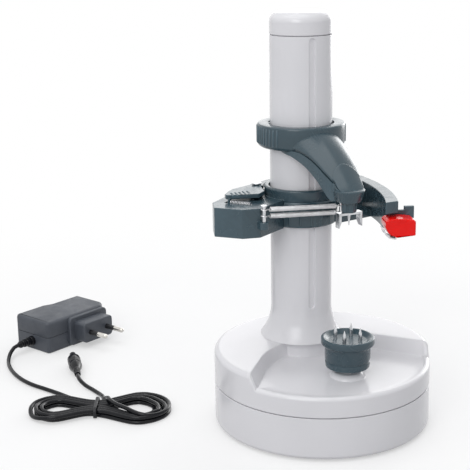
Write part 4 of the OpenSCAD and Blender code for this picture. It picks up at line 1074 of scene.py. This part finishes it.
class PEELER_OT_base(bpy.types.Operator):
    """Form the base's tray and deck, and dress its lower shell, feet, screws, button and inlet"""

    bl_idname = "peeler.base"
    bl_label = "Base"

    def execute(self, context):
        self.top_shell()
        dress("base_bottom_shell", "white_shell", 0.3)
        dress("rubber_feet", "soft_black", 0.3)
        dress("base_screws", "steel", 0.15)
        dress("start_button", "teal_plastic", 0.35)
        dress("dc_jack", "black_plastic", 0.2)
        return {"FINISHED"}

    def top_shell(self):
        """Upper shell as rings round the food axis that follow the tray's wall and the rim."""
        bm = bmesh.new()
        outer = self.rows(0.0, BASE_R)
        inner = [
            [(x, y, max(z - WALL, SEAM_Z + 0.4)) for x, y, z in row] for row in self.rows(WALL, BASE_R - WALL)
        ]
        count = len(outer[0])
        rim = [self.at_radius(outer[-1], BASE_R, z) for z in (SEAM_Z + 6, SEAM_Z + 0.4)]
        foot = [self.at_radius(outer[-1], r, SEAM_Z) for r in (BASE_R - 0.4, BASE_R - WALL)]
        rows = [[bm.verts.new(Vector(p) * MM) for p in row] for row in outer + rim + foot + inner[::-1]]
        for low, high in zip(rows, rows[1:] + rows[:1]):
            for k in range(count):
                bm.faces.new((low[k], low[(k + 1) % count], high[(k + 1) % count], high[k]))
        shell = new_object("base_top", mesh_from(bm, "base_top", 40))
        cut_hole(shell, (0, COLUMN_Y, 50), 19.1, 30, Matrix.Identity(4))
        for angle, radius in ((INLET_ANGLE, INLET_HOLE_R), (BUTTON_ANGLE, BUTTON_HOLE_R)):
            x, y = polar(BASE_R, angle)
            lie = Matrix.Rotation(math.radians(angle), 4, "Z") @ Matrix.Rotation(math.pi / 2, 4, "Y")
            cut_hole(shell, (x, y, PORTS_Z), radius, 12, lie)
        smooth_up_to(shell.data, 40)
        finish_piece(shell, "white_shell", "base", "base_top_shell")

    def at_radius(self, row, radius, z):
        """The row's points moved out to a circle round the base's axis."""
        result = []
        for x, y, _ in row:
            scale = radius / math.hypot(x, y)
            result.append((x * scale, y * scale, z))
        return result

    def rows(self, shift, limit):
        """Rings of points from the spindle boss out to the rim."""
        columns = []
        for k in range(RING_POINTS):
            u = Vector(polar(1.0, 360 * k / RING_POINTS))
            column = [(u * t + Vector((0, FOOD_Y)), z) for t, z in BOSS]
            last = BOSS[-1][0]
            edge = self.reach_circle(u, limit)
            marks = [self.reach_side(u, c, edge, shift) for c in (-0.8, -0.62, -0.38, -0.16, 0.0)]
            wall = [self.reach_slope(u, part, extra, edge, shift)
                    for part, extra in ((0.5, 0), (1, 0), (1, 0.2), (1, 0.45), (1, 0.8))]
            steps = [limit - 3.6 * (1 - math.cos(math.radians(a)))
                     for a in (90, 75, 62, 50, 40, 30, 20, 10, 4, 0)]
            rim = [self.reach_circle(u, r) for r in [limit - 4.4, limit - 4.1, limit - 3.8, *steps]]
            first = min(marks + wall + rim)
            floor = [last + (first - last) * i / 5 for i in range(1, 5)]
            deck = [marks[0] + (max(rim[0], marks[0]) - marks[0]) * i / 5 for i in range(1, 5)]
            for t in sorted(min(d, edge) for d in floor + wall + marks + deck + rim):
                p = u * t + Vector((0, FOOD_Y))
                z = top_height(p.x, p.y, shift)
                bend = 2.6 + (z - RIM_Z) / (DECK_Z - RIM_Z)
                column.append((p, z - quarter(p.length - (limit - bend), bend)))
            columns.append(column)
        return [[(c[i][0].x, c[i][0].y, c[i][1]) for c in columns] for i in range(len(columns[0]))]

    def reach_circle(self, u, radius):
        """Distance from the food axis along u to a circle round the base's axis."""
        b = FOOD_Y * u.y
        return -b + math.sqrt(b * b - FOOD_Y * FOOD_Y + radius * radius)

    def search(self, u, edge, test):
        """Smallest distance along u where the test turns true, or the rim."""
        low, high = 12.0, None
        for i in range(1, 61):
            t = 12.0 + (edge - 12.0) * i / 60
            if test(u * t + Vector((0, FOOD_Y))):
                high = t
                break
            low = t
        if high is None:
            return edge
        for _ in range(24):
            middle = (low + high) / 2
            if test(u * middle + Vector((0, FOOD_Y))):
                high = middle
            else:
                low = middle
        return high

    def reach_side(self, u, level, edge, shift):
        """Where the ray has come to a signed distance from the wall's line."""
        return self.search(u, edge, lambda p: tray_side(p.x, p.y)[0] + shift <= level)

    def reach_slope(self, u, part, extra, edge, shift):
        """Where the ray has come to a part of the slope's width, plus an extra distance."""

        def test(p):
            side, slope = tray_side(p.x, p.y)
            return side + shift <= slope * part + extra

        return self.search(u, edge, test)


class PEELER_OT_column(bpy.types.Operator):
    """Dress the column tube and its cap"""

    bl_idname = "peeler.column"
    bl_label = "Column"

    def execute(self, context):
        dress("column_tube", "white_shell", 0.25)
        dress("column_cap", "white_shell", 0.25)
        return {"FINISHED"}


class PEELER_OT_drive(bpy.types.Operator):
    """Finish the motor, gears, spindles, switches and the lead screw with its thread"""

    bl_idname = "peeler.drive"
    bl_label = "Drive"

    def execute(self, context):
        plain = {
            "gearbox_plate": "nylon", "compound_gear": "nylon", "idler_gear": "nylon",
            "screw_gear": "nylon", "cup_gear": "nylon", "motor_pinion": "brass", "screw_bush": "brass",
            "plate_screws": "steel", "gear_axles": "steel", "motor_can": "steel",
            "cup_spindle": "steel", "start_switch": "black_plastic", "limit_switch": "black_plastic",
            "limit_lever": "steel",
        }
        for node, slot in plain.items():
            dress(node, slot, 0.0)
        self.lead_screw(context.scene.peeler_sizes.thread_pitch)
        self.button_spring()
        return {"FINISHED"}

    def lead_screw(self, pitch):
        """Core rod with a rolled thread round it."""
        core = revolve(
            "screw_core",
            [(0, 25), (2.5, 25), (2.5, 30.4), (5, 30.4), (5, 60), (4.4, 61), (4.3, 66), (4.3, 255.4),
             (4.3, 259.4), (2.5, 260.4), (2.5, 269.0), (2.2, 269.4), (0, 269.4)],
            at=(0, COLUMN_Y, 0), steps=40,
        )
        start, length = 67, 187.0
        thread = coil_mesh("screw_thread", length * MM / pitch, 4.2, length, 0.78, sides=6, steps=22)
        thread.transform(Matrix.Translation((0, COLUMN_Y * MM, start * MM)))
        screw = new_object("threaded_screw", join_meshes("threaded_screw", [core, thread]))
        finish_piece(screw, "steel", "screw", "lead_screw")

    def button_spring(self):
        """Compression spring behind the start button."""
        seat_r = 59.9
        turn = Matrix.Rotation(math.radians(BUTTON_ANGLE), 4, "Z")
        seat = Matrix.Translation((seat_r * MM, 0, PORTS_Z * MM))
        place = turn @ seat @ Matrix.Rotation(math.pi / 2, 4, "Y")
        spring = coil("button_coil", 7, 3.45, 10.0, 0.35, place, "base", "button_spring")
        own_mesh(spring)


def coil_mesh(name, turns, radius, length, wire, finish="steel", sides=10, steps=26):
    """Coil along +Z, with the radius of its centreline and that of its wire in millimetres."""
    return grown(
        name,
        tree_named("Wire coil", wire_coil_tree),
        {"Turns": float(turns), "Radius": radius * MM, "Length": length * MM, "Wire": wire * MM,
         "Sides": sides, "Steps per turn": steps, "Material": finish_named(finish)},
    )


def coil(name, turns, radius, length, wire, place, body, node):
    """Spring of round wire that stands for a packed spring."""
    mesh = coil_mesh(name, turns, radius, length, wire)
    mesh.transform(place)
    mesh.shade_smooth()
    obj = new_object(name, mesh)
    return finish_piece(obj, "steel", body, node)


# ---------- food cup and holder arm ----------


class PEELER_OT_cup(bpy.types.Operator):
    """Turn the food cup and set its steel spikes"""

    bl_idname = "peeler.cup"
    bl_label = "Food cup"

    def execute(self, context):
        cup = revolve(
            "turned_cup",
            [(0, 58.6), (4.0, 58.6), (4.0, 50.6), (13.9, 50.6), (14.6, 50.9), (14.95, 51.7), (15.1, 54.3),
             (15.05, 54.7), (14.7, 54.95), (14.65, 55.7), (15.1, 56.0), (15.3, 56.6), (15.3, 64.3),
             (15.5, 64.9), (17.2, 66.4), (17.7, 66.9), (17.9, 67.5), (17.9, 70.4), (17.75, 71.0),
             (17.2, 71.35), (16.3, 71.35), (15.6, 71.1), (13.2, 69.2), (12.4, 68.9), (4, 68.3), (0, 68.2)],
            at=(0, FOOD_Y, 0), steps=96,
        )
        cup_obj = new_object("turned_cup", cup)
        finish_piece(cup_obj, "teal_plastic", "cup", "food_cup")
        spike = revolve(
            "spike_form",
            [(0, 61.7), (1.3, 61.7), (1.3, 73.2), (1.05, 74.6), (0.15, 78.0), (0, 78.1)],
            steps=20,
        )
        count = context.scene.peeler_sizes.spike_count
        spikes = new_object("spikes", ring_of("spikes", spike, count, 8.5, 45, 360 / count, "steel", FOOD_Y))
        finish_piece(spikes, "steel", "cup", "cup_spikes")
        return {"FINISHED"}


def ring_of(name, piece, count, radius, first, step, finish, centre_y):
    """Copies of a mesh round an upright axis, at angles in degrees."""
    source = new_object(name + "_piece", piece)
    copies = grown(
        name,
        tree_named("Ring of copies", ring_copies_tree),
        {"Piece": source, "Count": count, "Radius": radius * MM, "First angle": math.radians(first),
         "Angle step": math.radians(step), "Material": finish_named(finish)},
    )
    bpy.data.objects.remove(source)
    copies.transform(Matrix.Translation((0, centre_y * MM, 0)))
    return copies


HOLDER_FOOT = 190.5
HOLDER_TOP = 206.4
HOLDER_R = 30.2
COLLAR_BORE = 22.8

# Half width of the drooping arm and height of its lower edge, both against y.
ARM_WIDTH = [(-34, 9.6), (-26.5, 12), (-17.5, 13.6), (-8, 15.4), (1, 17.4), (9, 19.6), (14, 21.7), (24, 21.7)]
ARM_LOW = [(-40, 171.6), (-37, 170.8), (-34.4, 168.4), (-32.6, 164.2), (-29.4, 164), (-28, 165.2),
           (-24, 169), (-17, 175), (-8, 180.8), (-1, 184), (6, 186.6), (13, 189), (24, 190.5)]

# Overhanging edge of the arm's crown and the groove under it, as (inwards, down).
ARM_EDGE = [(0.05, 0.12), (0.0, 0.35), (0.0, 0.75), (0.12, 1.0), (0.4, 1.1), (1.5, 1.15), (1.65, 1.4),
            (1.65, 2.3), (1.5, 2.6), (0.5, 2.7), (0.3, 3.0)]

# Wall of the hollow arm: how far the hollow lies in from the sides and under the crown.
ARM_SIDE_WALL = 2.6
ARM_TOP_WALL = 2.9


def between(table, at):
    """Straight interpolation in a table of (place, value)."""
    if at <= table[0][0]:
        return table[0][1]
    for (a, low), (b, high) in zip(table, table[1:]):
        if at <= b:
            return low + (high - low) * (at - a) / (b - a)
    return table[-1][1]


def arm_half_width(y):
    """Half width of the arm, with its round nose."""
    if y > -34:
        return between(ARM_WIDTH, y)
    return math.sqrt(max(9.6 ** 2 - min(y + 35.6, 0.0) ** 2, 0.01))


def arm_crown(x, y):
    """Height of the arm's crowned top, part of a large torus about a cross axis."""
    across = math.sqrt(max(22.0 ** 2 - x * x, 0.0))
    return 68 + math.sqrt((128 + across) ** 2 - (y - 65.8) ** 2)


class PEELER_OT_holder(bpy.types.Operator):
    """Form the holder arm and dress its hub, fork and release button"""

    bl_idname = "peeler.holder"
    bl_label = "Holder arm"

    def execute(self, context):
        self.arm()
        dress("spindle_hub", "teal_plastic", 0.25)
        dress("food_fork", "steel", 0.2)
        dress("upper_spindle", "steel", 0.1)
        dress("spindle_bush", "brass", 0.1)
        dress("release_button", "teal_plastic", 0.5, segments=3)
        seat = (-8.4 * MM, 62.1 * MM, 198.3 * MM)
        place = Matrix.Translation(seat) @ Matrix.Rotation(math.pi / 2, 4, "Y")
        spring = coil("release_coil", 4, 1.7, 4.7, 0.3, place, "holder", "release_spring")
        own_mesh(spring)
        return {"FINISHED"}

    def arm(self):
        """Ribbed collar, crowned arm with its nose cap, flared spindle housing and rear housing."""
        at = (0, COLUMN_Y, 0)
        collar = revolve(
            "collar_form",
            [(COLLAR_BORE, HOLDER_FOOT + 0.4), (COLLAR_BORE + 0.4, HOLDER_FOOT), (27.6, HOLDER_FOOT),
             (28.2, HOLDER_FOOT + 0.15), (29.3, HOLDER_FOOT + 0.9), (29.7, HOLDER_FOOT + 1.4), (30.1, 192.8),
             (HOLDER_R, 193.4), (HOLDER_R, 205.1), (30.0, 205.8), (29.6, 206.2), (29.0, HOLDER_TOP),
             (COLLAR_BORE + 0.5, HOLDER_TOP), (COLLAR_BORE + 0.1, 206.25), (COLLAR_BORE, 205.9),
             (COLLAR_BORE, HOLDER_FOOT + 0.4)],
            at=at, steps=144,
        )
        key = prism("guide_key", rounded([(-4.5, 6.9), (-0.7, 6.9), (-0.7, 9.8), (-4.5, 9.8)], 0.4, 3),
                    HOLDER_FOOT + 2, HOLDER_TOP - 2, 0.4, 0.4)
        shoe_corners = ((21.7, -6), (21.7, 6), (23.4, 6), (23.4, -6))
        shoes = [prism("guide_shoe", [polar(r, angle + d) for r, d in shoe_corners],
                       HOLDER_FOOT + 0.6, HOLDER_TOP - 0.6, 0.2, 0.2, 1, at=at) for angle in (30, 150)]
        housing = revolve(
            "spindle_housing",
            [(0, 169.2), (4.5, 169.2), (4.5, 164.3), (4.8, 164), (7.4, 164), (7.8, 164.15), (8.0, 164.5),
             (10.15, 170.9), (10.3, 171.4), (10.2, 171.8), (9.9, 172.0), (9, 172.3), (0, 172.4)],
            at=(0, FOOD_Y, 0), steps=80,
        )
        rear = prism("rear_housing", rounded([(-11, 56), (11, 56), (11, 66.7), (-11, 66.7)], 1.6, 4),
                     192.1, 204.5, 0.9, 0.9)
        form = new_object("holder_arm", join_meshes("holder_form", [self.drooping_arm(), housing, rear]))
        cut_hole(form, (0, COLUMN_Y, 195), COLLAR_BORE + 0.3, 90, Matrix.Identity(4), joined=True)
        cut_box(form, (6.4, 62.1, 198.3), (30, 5.6, 8.4), joined=True)
        form.data = join_meshes("holder_arm", [form.data.copy(), collar, key, *shoes, self.grip_ribs()])
        smooth_up_to(form.data, 38)
        finish_piece(form, "teal_plastic", "holder", "upper_holder")

    def grip_ribs(self):
        """Upright finger ribs on both sides of the collar."""
        rib = revolve(
            "rib_form",
            [(0, 193.0), (0.45, 193.0), (0.7, 193.4), (0.7, 204.6), (0.45, 205.0), (0, 205.0)],
            steps=12,
        )
        rows = [ring_of("grip_ribs", rib, 11, HOLDER_R - 0.1, first, 6, "teal_plastic", COLUMN_Y)
                for first in (150, -30)]
        return join_meshes("grip_ribs", rows)

    def drooping_arm(self):
        """Hollow crowned arm as cross-sections from the collar to the nose."""
        # centre line place, how much the section bends towards the nose, and lift of the nose cap
        stations = [(22, 0, 0), (14, 0, 0), (9, 0, 0), (5, 0.05, 0), (1, 0.1, 0), (-4, 0.2, 0), (-8, 0.3, 0),
                    (-13, 0.45, 0), (-17.5, 0.6, 0), (-21, 0.75, 0), (-24, 0.88, 0), (-25.6, 0.96, 0),
                    (-26.15, 1, 0), (-26.2, 1, 0.35), (-26.35, 1, 0.75), (-26.7, 1, 1.0), (-27.3, 0.97, 1.05),
                    (-29, 0.82, 0.95), (-30.6, 0.6, 0.85), (-32.4, 0.36, 0.8), (-34.2, 0.1, 0.75),
                    (-36, -0.1, 0.7), (-38, -0.3, 0.65), (-39.6, -0.45, 0.6), (-41, -0.58, 0.5),
                    (-42.1, -0.66, 0.35), (-42.8, -0.7, 0.1)]
        across = [-1 + 2 * k / 24 for k in range(25)]
        bm = bmesh.new()
        add_rings(bm, [self.arm_section(c, bend, lift, across) for c, bend, lift in stations])
        return mesh_from(bm, "drooping_arm", 38)

    def arm_section(self, c, bend, lift, across):
        """Closed section: crown, overhanging edge, groove, side wall and the hollow inside."""

        def point(u, inward, lift_here):
            y = c
            for _ in range(12):
                x = u * max(arm_half_width(y) - inward, 0.0)
                y = c + bend * (math.sqrt(144 - min(x * x, 140)) - 12)
            return x, y, arm_crown(x, y) + lift_here

        def side(s):
            x, y, edge = point(s, 0, lift)
            low = between(ARM_LOW, y)
            room = max(min((edge - low) / 7.0, 1.0), 0.0)
            edge = max(edge, low)
            wall = [(x - s * inward * min(room * 1.2, 1), y, edge - down * room) for inward, down in ARM_EDGE]
            foot = [(x - s * 0.3 * room, y, low + 0.3 * room), (x - s * 0.6 * room, y, low),
                    (x - s * 2.1 * room, y, low)]
            xi, yi, ceiling = point(s, ARM_SIDE_WALL, lift - ARM_TOP_WALL)
            ceiling = max(ceiling, low)
            return wall + foot + [(xi, yi, min(low + 0.3, ceiling)), (xi, yi, ceiling)]

        top = [point(u * 0.985, 0, lift) for u in across]
        under = [point(u * 0.9, ARM_SIDE_WALL, lift - ARM_TOP_WALL) for u in across]
        low = between(ARM_LOW, c)
        top = [(x, y, max(z, low)) for x, y, z in top]
        under = [(x, y, max(z, low)) for x, y, z in under]
        return top + side(1) + under[::-1] + side(-1)[::-1]


# ---------- carriage and peeling arm ----------


class PEELER_OT_carriage(bpy.types.Operator):
    """Dress the carriage, its release lever, pins and half nut"""

    bl_idname = "peeler.carriage"
    bl_label = "Carriage"

    def execute(self, context):
        dress("carriage_body", "teal_plastic", 0.4)
        dress("release_lever", "teal_plastic", 0.45)
        dress("pivot_pins", "steel", 0.25)
        dress("spring_pin", "steel", 0.2)
        dress("half_nut", "brass", 0.25)
        self.lever_spring()
        return {"FINISHED"}

    def lever_spring(self):
        """Compression spring between the grip block and the lever's thumb plate."""
        foot, angle, reach = (-56.2, 26.4, 156.6), -53, 16.0
        place = (Matrix.Translation([c * MM for c in foot])
                 @ Matrix.Rotation(math.radians(angle), 4, "Z") @ Matrix.Rotation(math.pi / 2, 4, "Y")
                 @ Matrix.Translation((0, 0, 0.4 * MM)))
        spring = coil("lever_coil", 13, 1.35, 15.2, 0.28, place, "carriage", "lever_return")
        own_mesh(spring)


# Tension springs: x and y of the pins that they hook round, their outer radius, the length and
# radius of the loops at their ends, and the rise of a turn as a share of the wire's thickness.
CARRIAGE_PIN = (-45, -2.5)
ARM_PIN = (14, -0.5)
SPRING_R = 1.75
LOOP_LENGTH = 4.3
LOOP_R = 1.9
TURN_PITCH = 1.06


class PEELER_OT_peeling_arm(bpy.types.Operator):
    """Dress the peeling arm with its springs, bracket, blade holder and blade"""

    bl_idname = "peeler.peeling_arm"
    bl_label = "Peeling arm"

    def execute(self, context):
        dress("peeling_arm", "teal_plastic", 0.5, segments=3)
        dress("arm_spring_pin", "steel", 0.2)
        dress("blade_bracket", "teal_plastic", 0.4)
        dress("blade_pin", "steel", 0.2)
        dress("blade_holder", "red_plastic", 0.8, segments=4)
        dress("peeling_blade", "steel", 0.05, segments=1)
        wire = context.scene.peeler_sizes.wire_diameter / MM / 2
        self.tension_spring("upper_tension_coil", "tension_spring_upper", 156.4, 152.0, wire)
        self.tension_spring("lower_tension_coil", "tension_spring_lower", 152.0, 147.6, wire)
        return {"FINISHED"}

    def tension_spring(self, name, node, z_left, z_right, wire):
        """Close-wound coil between two loops that hook round their pins."""
        start, end = Vector((*CARRIAGE_PIN, z_left)), Vector((*ARM_PIN, z_right))
        along = (end - start).normalized()
        place = Matrix.Translation(start * MM) @ along.to_track_quat("Z", "Y").to_matrix().to_4x4()
        length = (end - start).length
        body_length = length - 2 * LOOP_LENGTH
        turns = body_length / (2 * wire * TURN_PITCH)
        mesh = coil_mesh(name, turns, SPRING_R - wire, body_length, wire, "spring_wire", steps=20)
        mesh.transform(Matrix.Translation((0, 0, LOOP_LENGTH * MM)))
        hooks = [self.hook(wire, 0.0, LOOP_LENGTH), self.hook(wire, length, length - LOOP_LENGTH)]
        mesh = join_meshes(name, [mesh, *hooks])
        mesh.transform(place)
        mesh.shade_smooth()
        spring = finish_piece(new_object(name, mesh), "steel", None, node, finish="spring_wire")
        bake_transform(spring)

    def hook(self, wire, centre, end):
        """Open loop round a pin, running into the coil's end."""
        side = 1 if end > centre else -1
        path = [Vector((0, 0, end)), Vector((0, 0, (centre + end) / 2 + side * 0.5))]
        for k in range(15):
            a = math.radians(20 + 320 * k / 14)
            path.append(Vector((-LOOP_R * math.sin(a), 0, centre + side * LOOP_R * math.cos(a))))
        return tube_mesh("hook", path, wire, 10)


def tube_mesh(name, path, radius, sides):
    """Round wire along a path, in millimetres."""
    bm = bmesh.new()
    rings = []
    side = None
    for i, p in enumerate(path):
        along = (path[min(i + 1, len(path) - 1)] - path[max(i - 1, 0)]).normalized()
        if side is None:
            side = along.orthogonal().normalized()
        side = (side - along * side.dot(along)).normalized()
        up = along.cross(side)
        rings.append([p + radius * (side * math.cos(a) + up * math.sin(a))
                      for a in (2 * math.pi * k / sides for k in range(sides))])
    add_rings(bm, rings)
    return mesh_from(bm, name, 50)


# ---------- stage ----------


def seen_or_mirrored(tree):
    """Socket that is 1 where a surface is seen directly, in a reflection or through glass."""
    rays = tree.nodes.new("ShaderNodeLightPath").outputs
    seen = math_node(tree, "ADD", rays["Is Camera Ray"], rays["Is Glossy Ray"], clamp=True)
    return math_node(tree, "ADD", seen, rays["Is Transmission Ray"], clamp=True)


def glowing(tree, kind, colour, strength):
    """Emission or background node."""
    node = tree.nodes.new(kind)
    node.inputs["Color"].default_value = colour
    node.inputs["Strength"].default_value = strength
    return node


def mix_shaders(tree, factor, first, second, output):
    """Mixes two shaders into the surface of an output node."""
    mix = tree.nodes.new("ShaderNodeMixShader")
    for source, socket in zip((factor, first.outputs[0], second.outputs[0]), mix.inputs):
        feed(tree, source, socket)
    feed(tree, mix.outputs[0], output.inputs["Surface"])


# Camera: focal length in millimetres, place in metres, angles in radians.
CAMERA_LENS = 89.3
CAMERA_AT = (-0.3722, -0.6737, 0.3388)
CAMERA_DOWN = 0.2609
CAMERA_ROUND = math.radians(-24.5)
CAMERA_ROLL = -0.016

# Each lamp: its place, what it is aimed at and its side, in metres, and its power in watts.
LAMPS = {
    "top_softbox": ((-0.35, 0.0, 1.8), (0, 0, 0.1), 1.7, 11.5),
    "back_softbox": ((0.95, 1.15, 0.62), (0, 0, 0.14), 1.3, 5.5),
    "right_strip": ((1.3, 0.75, 0.42), (0, 0, 0.18), 0.75, 5.5),
    "front_key": ((-1.1, -1.0, 0.95), (0, 0, 0.12), 0.9, 8.5),
}

WHITE = (1, 1, 1, 1)
FLOOR_TONES = ((0.93, 0.93, 0.935, 1), (0.95, 0.95, 0.95, 1))
BOUNCE_TONE = (0.55, 0.55, 0.56, 1)
WORLD_TONE = (0.97, 0.98, 1.0, 1)


class PEELER_OT_stage(bpy.types.Operator):
    """Set the camera, the pale floor and the soft studio light"""

    bl_idname = "peeler.stage"
    bl_label = "Stage"

    def execute(self, context):
        self.camera(context.scene)
        self.floor()
        self.lights()
        self.world(context.scene)
        context.scene.view_settings.view_transform = "Standard"
        return {"FINISHED"}

    def camera(self, scene):
        data = bpy.data.cameras.new("camera")
        data.sensor_width = 36.0
        data.lens = CAMERA_LENS
        data.clip_end = 60.0
        camera = new_object("camera", data)
        look = Euler((math.pi / 2 - CAMERA_DOWN, 0.0, CAMERA_ROUND), "XYZ").to_matrix().to_4x4()
        roll = Matrix.Rotation(CAMERA_ROLL, 4, "Z")
        camera.matrix_world = Matrix.Translation(CAMERA_AT) @ look @ roll
        scene.camera = camera

    def floor(self):
        bm = bmesh.new()
        bmesh.ops.create_grid(bm, x_segments=8, y_segments=8, size=14.0)
        mesh = bpy.data.meshes.new("floor")
        bm.to_mesh(mesh)
        bm.free()
        floor = new_object("floor", mesh)
        material = bpy.data.materials.new("Pale floor")
        material.use_nodes = True
        tree = material.node_tree
        shader = tree.nodes["Principled BSDF"]
        shader.inputs["Roughness"].default_value = 0.9
        shader.inputs["Specular IOR Level"].default_value = 0.1
        coords = tree.nodes.new("ShaderNodeTexCoord").outputs["Object"]
        mottle = map_node(tree, noise_node(tree, coords, 6.0, detail=2.0), 0.3, 0.7)
        tone = mix_colour(tree, mottle, *FLOOR_TONES)
        # light that bounces off the floor is dimmed, so that upright sides fall off a little
        bounced = tree.nodes.new("ShaderNodeLightPath").outputs["Is Diffuse Ray"]
        feed(tree, mix_colour(tree, bounced, tone, BOUNCE_TONE), shader.inputs["Base Color"])
        # away from the object the floor shows and reflects as plain white
        reach = tree.nodes.new("ShaderNodeVectorMath")
        reach.operation = "LENGTH"
        feed(tree, coords, reach.inputs[0])
        far = map_node(tree, reach.outputs["Value"], 0.2, 0.62, 0.45, 1.0)
        share = math_node(tree, "MULTIPLY", far, seen_or_mirrored(tree))
        white = glowing(tree, "ShaderNodeEmission", WHITE, 1.0)
        mix_shaders(tree, share, shader, white, tree.nodes["Material Output"])
        floor.data.materials.append(material)

    def lights(self):
        for name, (at, towards, size, watts) in LAMPS.items():
            data = bpy.data.lights.new(name, "AREA")
            data.shape = "SQUARE"
            data.size = size
            data.energy = watts
            lamp = new_object(name, data)
            aim = (Vector(towards) - Vector(at)).to_track_quat("-Z", "Y").to_matrix().to_4x4()
            lamp.matrix_world = Matrix.Translation(at) @ aim
            lamp.visible_camera = False

    def world(self, scene):
        world = bpy.data.worlds.new("studio")
        world.use_nodes = True
        tree = world.node_tree
        tree.nodes.clear()
        lit = glowing(tree, "ShaderNodeBackground", WORLD_TONE, 0.50)
        shown = glowing(tree, "ShaderNodeBackground", WHITE, 1.0)
        mix_shaders(tree, seen_or_mirrored(tree), lit, shown, tree.nodes.new("ShaderNodeOutputWorld"))
        scene.world = world


# ---------- panel and registration ----------

OPERATORS = [
    PEELER_OT_stage, PEELER_OT_lead, PEELER_OT_adapter, PEELER_OT_base, PEELER_OT_column,
    PEELER_OT_drive, PEELER_OT_cup, PEELER_OT_holder, PEELER_OT_carriage, PEELER_OT_peeling_arm,
]


class PEELER_PT_parts(bpy.types.Panel):
    """Lists the peeler's pieces, sizes and colours"""

    bl_idname = "PEELER_PT_parts"
    bl_label = "Potato peeler"
    bl_space_type = "VIEW_3D"
    bl_region_type = "UI"
    bl_category = "Peeler"

    def draw(self, context):
        layout = self.layout
        for settings in (context.scene.peeler_sizes, context.scene.peeler_colours):
            box = layout.box()
            for name in settings.__annotations__:
                box.prop(settings, name)
        for operator in OPERATORS:
            layout.operator(operator.bl_idname)


CLASSES = [PeelerSizes, PeelerColours, *OPERATORS, PEELER_PT_parts]


def register():
    """Adds the classes and the scene's settings."""
    for cls in CLASSES:
        bpy.utils.register_class(cls)
    bpy.types.Scene.peeler_sizes = PointerProperty(type=PeelerSizes)
    bpy.types.Scene.peeler_colours = PointerProperty(type=PeelerColours)


def unregister():
    """Takes the settings and the classes away again."""
    del bpy.types.Scene.peeler_colours
    del bpy.types.Scene.peeler_sizes
    for cls in reversed(CLASSES):
        bpy.utils.unregister_class(cls)


def main():
    """Registers the add-on and builds everything."""
    register()
    for operator in OPERATORS:
        family, name = operator.bl_idname.split(".")
        getattr(getattr(bpy.ops, family), name)()


if __name__ == "__main__":
    main()
